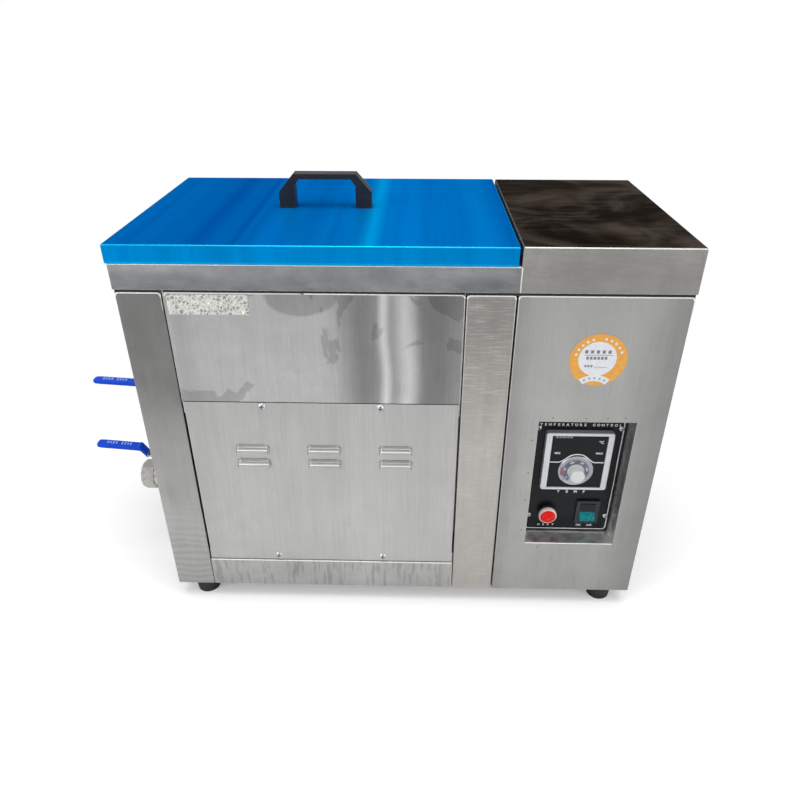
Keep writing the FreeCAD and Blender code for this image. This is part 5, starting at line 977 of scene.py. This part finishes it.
marks = [barOutline(middleX + (x + left) * mm, middleZ + low * mm, middleX + (x + right) * mm,
                    middleZ + high * mm) for columns, left, right, low, high in stickerRows for x in columns]
marks += dotsAround(middleX, ribbonZ, sticker["ribbonDots"], sticker["ribbonDot"], range(-28, 29, 14))
flatPiece("stickerMarks", marks, stickerBox[0].y - sticker["ink"] * 2, sticker["ink"], "greyInk",
          "sticker_paper")
ringMarks = dotsAround(stickerX, stickerZ, sticker["ringDots"], sticker["ringDot"],
                       (*range(-75, -18, 14), *range(12, 69, 14)))
flatPiece("stickerRingMarks", ringMarks, stickerBox[0].y, sticker["ink"], "whitePaper", "sticker_paper")

# Crinkled foil label, left blank: a thin sheet pressed on with creases running every way
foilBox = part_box("foil_label")
foil = {**inMm(depth=0.6, lift=0.1), "columns": 150, "rows": 40, "creaseScale": 330.0, "foldGain": 0.9,
        "fineGain": 0.3, "fineScale": 2.3, "least": 0.05, "rimSteps": 3, "slice": 0.3}
builder = bmesh.new()
grid = []
for row in range(foil["rows"] + 1):
    line = []
    for column in range(foil["columns"] + 1):
        x = foilBox[0].x + (foilBox[1].x - foilBox[0].x) * column / foil["columns"]
        z = foilBox[0].z + (foilBox[1].z - foilBox[0].z) * row / foil["rows"]
        spot = Vector((x, z, foil["slice"])) * foil["creaseScale"]
        crease = noise.voronoi(spot)[0]
        fold = (abs(crease[1] - crease[0]) * foil["foldGain"]
                + foil["fineGain"] * noise.noise(spot * foil["fineScale"]))
        rim = min(column, foil["columns"] - column, row * 2, (foil["rows"] - row) * 2)
        relief = min(rim / foil["rimSteps"], 1.0) * foil["depth"] * max(foil["least"], min(fold, 1))
        line.append(builder.verts.new((x, foilBox[1].y - foil["lift"] - relief, z)))
    grid.append(line)
for low, high in zip(grid, grid[1:]):
    for column in range(foil["columns"]):
        builder.faces.new([low[column], low[column + 1], high[column + 1], high[column]])
foilPiece = newPiece("crinkledFoil", finishMesh("crinkledFoil", builder, True), "foil", "cabinet")
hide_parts("foil_label")
print("stage: sticker and foil")

# Dark cross slots of the pan-head screws, painted shade in the slots, as shares of the head
slots = {"reach": 0.29, "half": 0.065, "gap": 0.066, "depth": 0.18, "thick": 0.1 * mm}


def crossSlots(name, node, head):
    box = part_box(node)
    reach, half, gap = (head * slots[share] for share in ("reach", "half", "gap"))
    outlines = []
    for x in (box[0].x + head / 2, box[1].x - head / 2):
        for z in (box[0].z + head / 2, box[1].z - head / 2):
            outlines.append(barOutline(x - reach, z - half, x + reach, z + half))
            outlines.append(barOutline(x - half, z + gap, x + half, z + reach))
            outlines.append(barOutline(x - half, z - reach, x + half, z - gap))
    flatPiece(name, outlines, box[0].y + head * slots["depth"], slots["thick"], "seamShadow", "fastener")


screwHeads = inMm(servicePanel=8.0, controlPlate=5.6)
crossSlots("servicePanelSlots", "service_panel_screws", screwHeads["servicePanel"])
crossSlots("controlPlateSlots", "control_plate_screws", screwHeads["controlPlate"])

# Raised pale marks along the top of each dipped grip, left as plain bars
bars = {**inMm(width=1.5, pitch=3.5, start=12, half=2.4, proud=0.35, inside=0.4, lean=0.6),
        "count": 9, "skip": (4,), "leanTurn": 2.1}
for valve in ("oil", "water"):
    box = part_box(f"{valve}_valve_grip")
    heightAt = surfaceFinder(f"{valve}_valve_grip")
    gripY = (box[0].y + box[1].y) / 2
    nearY, farY = gripY - bars["half"], gripY + bars["half"]
    builder = bmesh.new()
    for index in range(bars["count"]):
        if index in bars["skip"]:
            continue
        left = box[0].x + bars["start"] + index * bars["pitch"]
        right = left + bars["width"]
        lean = bars["lean"] * sin(index * bars["leanTurn"])
        outline = [(left, nearY), (right, nearY + lean), (right, farY), (left, farY - lean)]
        level = [heightAt(x, y, box[1].z) for x, y in outline]
        top = [builder.verts.new((x, y, z + bars["proud"])) for (x, y), z in zip(outline, level)]
        low = [builder.verts.new((x, y, z - bars["inside"])) for (x, y), z in zip(outline, level)]
        builder.faces.new(top)
        builder.faces.new(list(reversed(low)))
        for step in range(4):
            after = (step + 1) % 4
            builder.faces.new([top[step], low[step], low[after], top[after]])
    name = f"{valve}GripMarks"
    newPiece(name, finishMesh(name, builder), "vinylMark", f"{valve}_valve_handle")
print("stage: screw slots and grip marks")

# Camera at the place that the photo was taken from
cameraPlace = {"x": 0.07658, "y": -0.72487, "z": 0.61930, "yaw": -0.0249, "pitch": 0.5285, "lens": 30.58}
cameraData = bpy.data.cameras.new("photoCamera")
cameraData.sensor_width = 36.0
cameraData.lens = cameraPlace["lens"]
camera = addObject("photoCamera", cameraData)
yaw, pitch = cameraPlace["yaw"], cameraPlace["pitch"]
ahead = Vector((sin(yaw) * cos(pitch), cos(yaw) * cos(pitch), -sin(pitch)))
right = Vector((cos(yaw), -sin(yaw), 0))
up = right.cross(ahead)
camera.matrix_world = Matrix.Translation((cameraPlace["x"], cameraPlace["y"], cameraPlace["z"])) @ Matrix(
    (right, up, -ahead)).transposed().to_4x4()
scene.camera = camera

# Pale floor that fades into a white background away from the part, for what the camera sees
studio = {"floorSize": 6.0, "floorColor": (0.83, 0.83, 0.83), "floorLift": 0.22, "fadeStart": 0.42,
          "fadeEnd": 0.62}
floorMesh = bpy.data.meshes.new("floor")
half = studio["floorSize"]
floorCorners = [(-half, -half, 0), (half, -half, 0), (half, half, 0), (-half, half, 0)]
floorMesh.from_pydata(floorCorners, [], [(0, 1, 2, 3)])
floor = addObject("floor", floorMesh)
floorMaterial, floorTree, floorShader, floorPlace = newMaterial("floorPaper", studio["floorColor"], 0.9)
floorShader.inputs["Specular IOR Level"].default_value = 0.0
seen = addNode(floorTree, "ShaderNodeLightPath").outputs["Is Camera Ray"]
floorShader.inputs["Emission Color"].default_value = (1, 1, 1, 1)
link(floorTree, times(floorTree, seen, studio["floorLift"]), floorShader, "Emission Strength")
flat = vectorNode(floorTree, "MULTIPLY", floorPlace, (1.0, 1.25, 0.0))[0]
away = vectorNode(floorTree, "LENGTH", flat)["Value"]
gone = times(floorTree, mapRange(floorTree, away, studio["fadeStart"], studio["fadeEnd"]), seen)
link(floorTree, minus(floorTree, 1.0, gone), floorShader, "Alpha")
floorMesh.materials.append(floorMaterial)

world = bpy.data.worlds.new("studio")
scene.world = world
world.use_nodes = True
worldTree = world.node_tree
background = worldTree.nodes["Background"]
rays = addNode(worldTree, "ShaderNodeLightPath")
direction = addNode(worldTree, "ShaderNodeTexCoord")
parts = axes(worldTree, direction.outputs["Generated"])
heightShare = mapRange(worldTree, parts["Z"], -0.2, 0.9)
roomColor = mixColor(worldTree, heightShare, (0.36, 0.36, 0.36), (0.62, 0.62, 0.62))
skyColor = mixColor(worldTree, rays.outputs["Is Camera Ray"], roomColor, (1.0, 1.0, 1.0))
worldTree.links.new(skyColor, background.inputs["Color"])
background.inputs["Strength"].default_value = 1.0

lamps = {
    "overheadSoftbox": {"place": (0.1, -0.3, 1.9), "aim": (0, 0, 0.3), "size": (1.6, 1.2), "power": 22},
    "leftSoftbox": {"place": (-1.7, -1.3, 1.1), "aim": (0, 0, 0.25), "size": (1.0, 1.2), "power": 14},
    "rightSoftbox": {"place": (1.8, -1.2, 0.9), "aim": (0, 0, 0.25), "size": (0.8, 1.2), "power": 9},
}
for name, lamp in lamps.items():
    light = bpy.data.lights.new(name, "AREA")
    light.shape = "RECTANGLE"
    light.size, light.size_y = lamp["size"]
    light.energy = lamp["power"]
    holder = addObject(name, light)
    holder.location = lamp["place"]
    toward = Vector(lamp["aim"]) - Vector(lamp["place"])
    holder.rotation_euler = toward.to_track_quat("-Z", "Y").to_euler()
print("stage: camera, floor and lamps")

scene.view_settings.view_transform = "Standard"
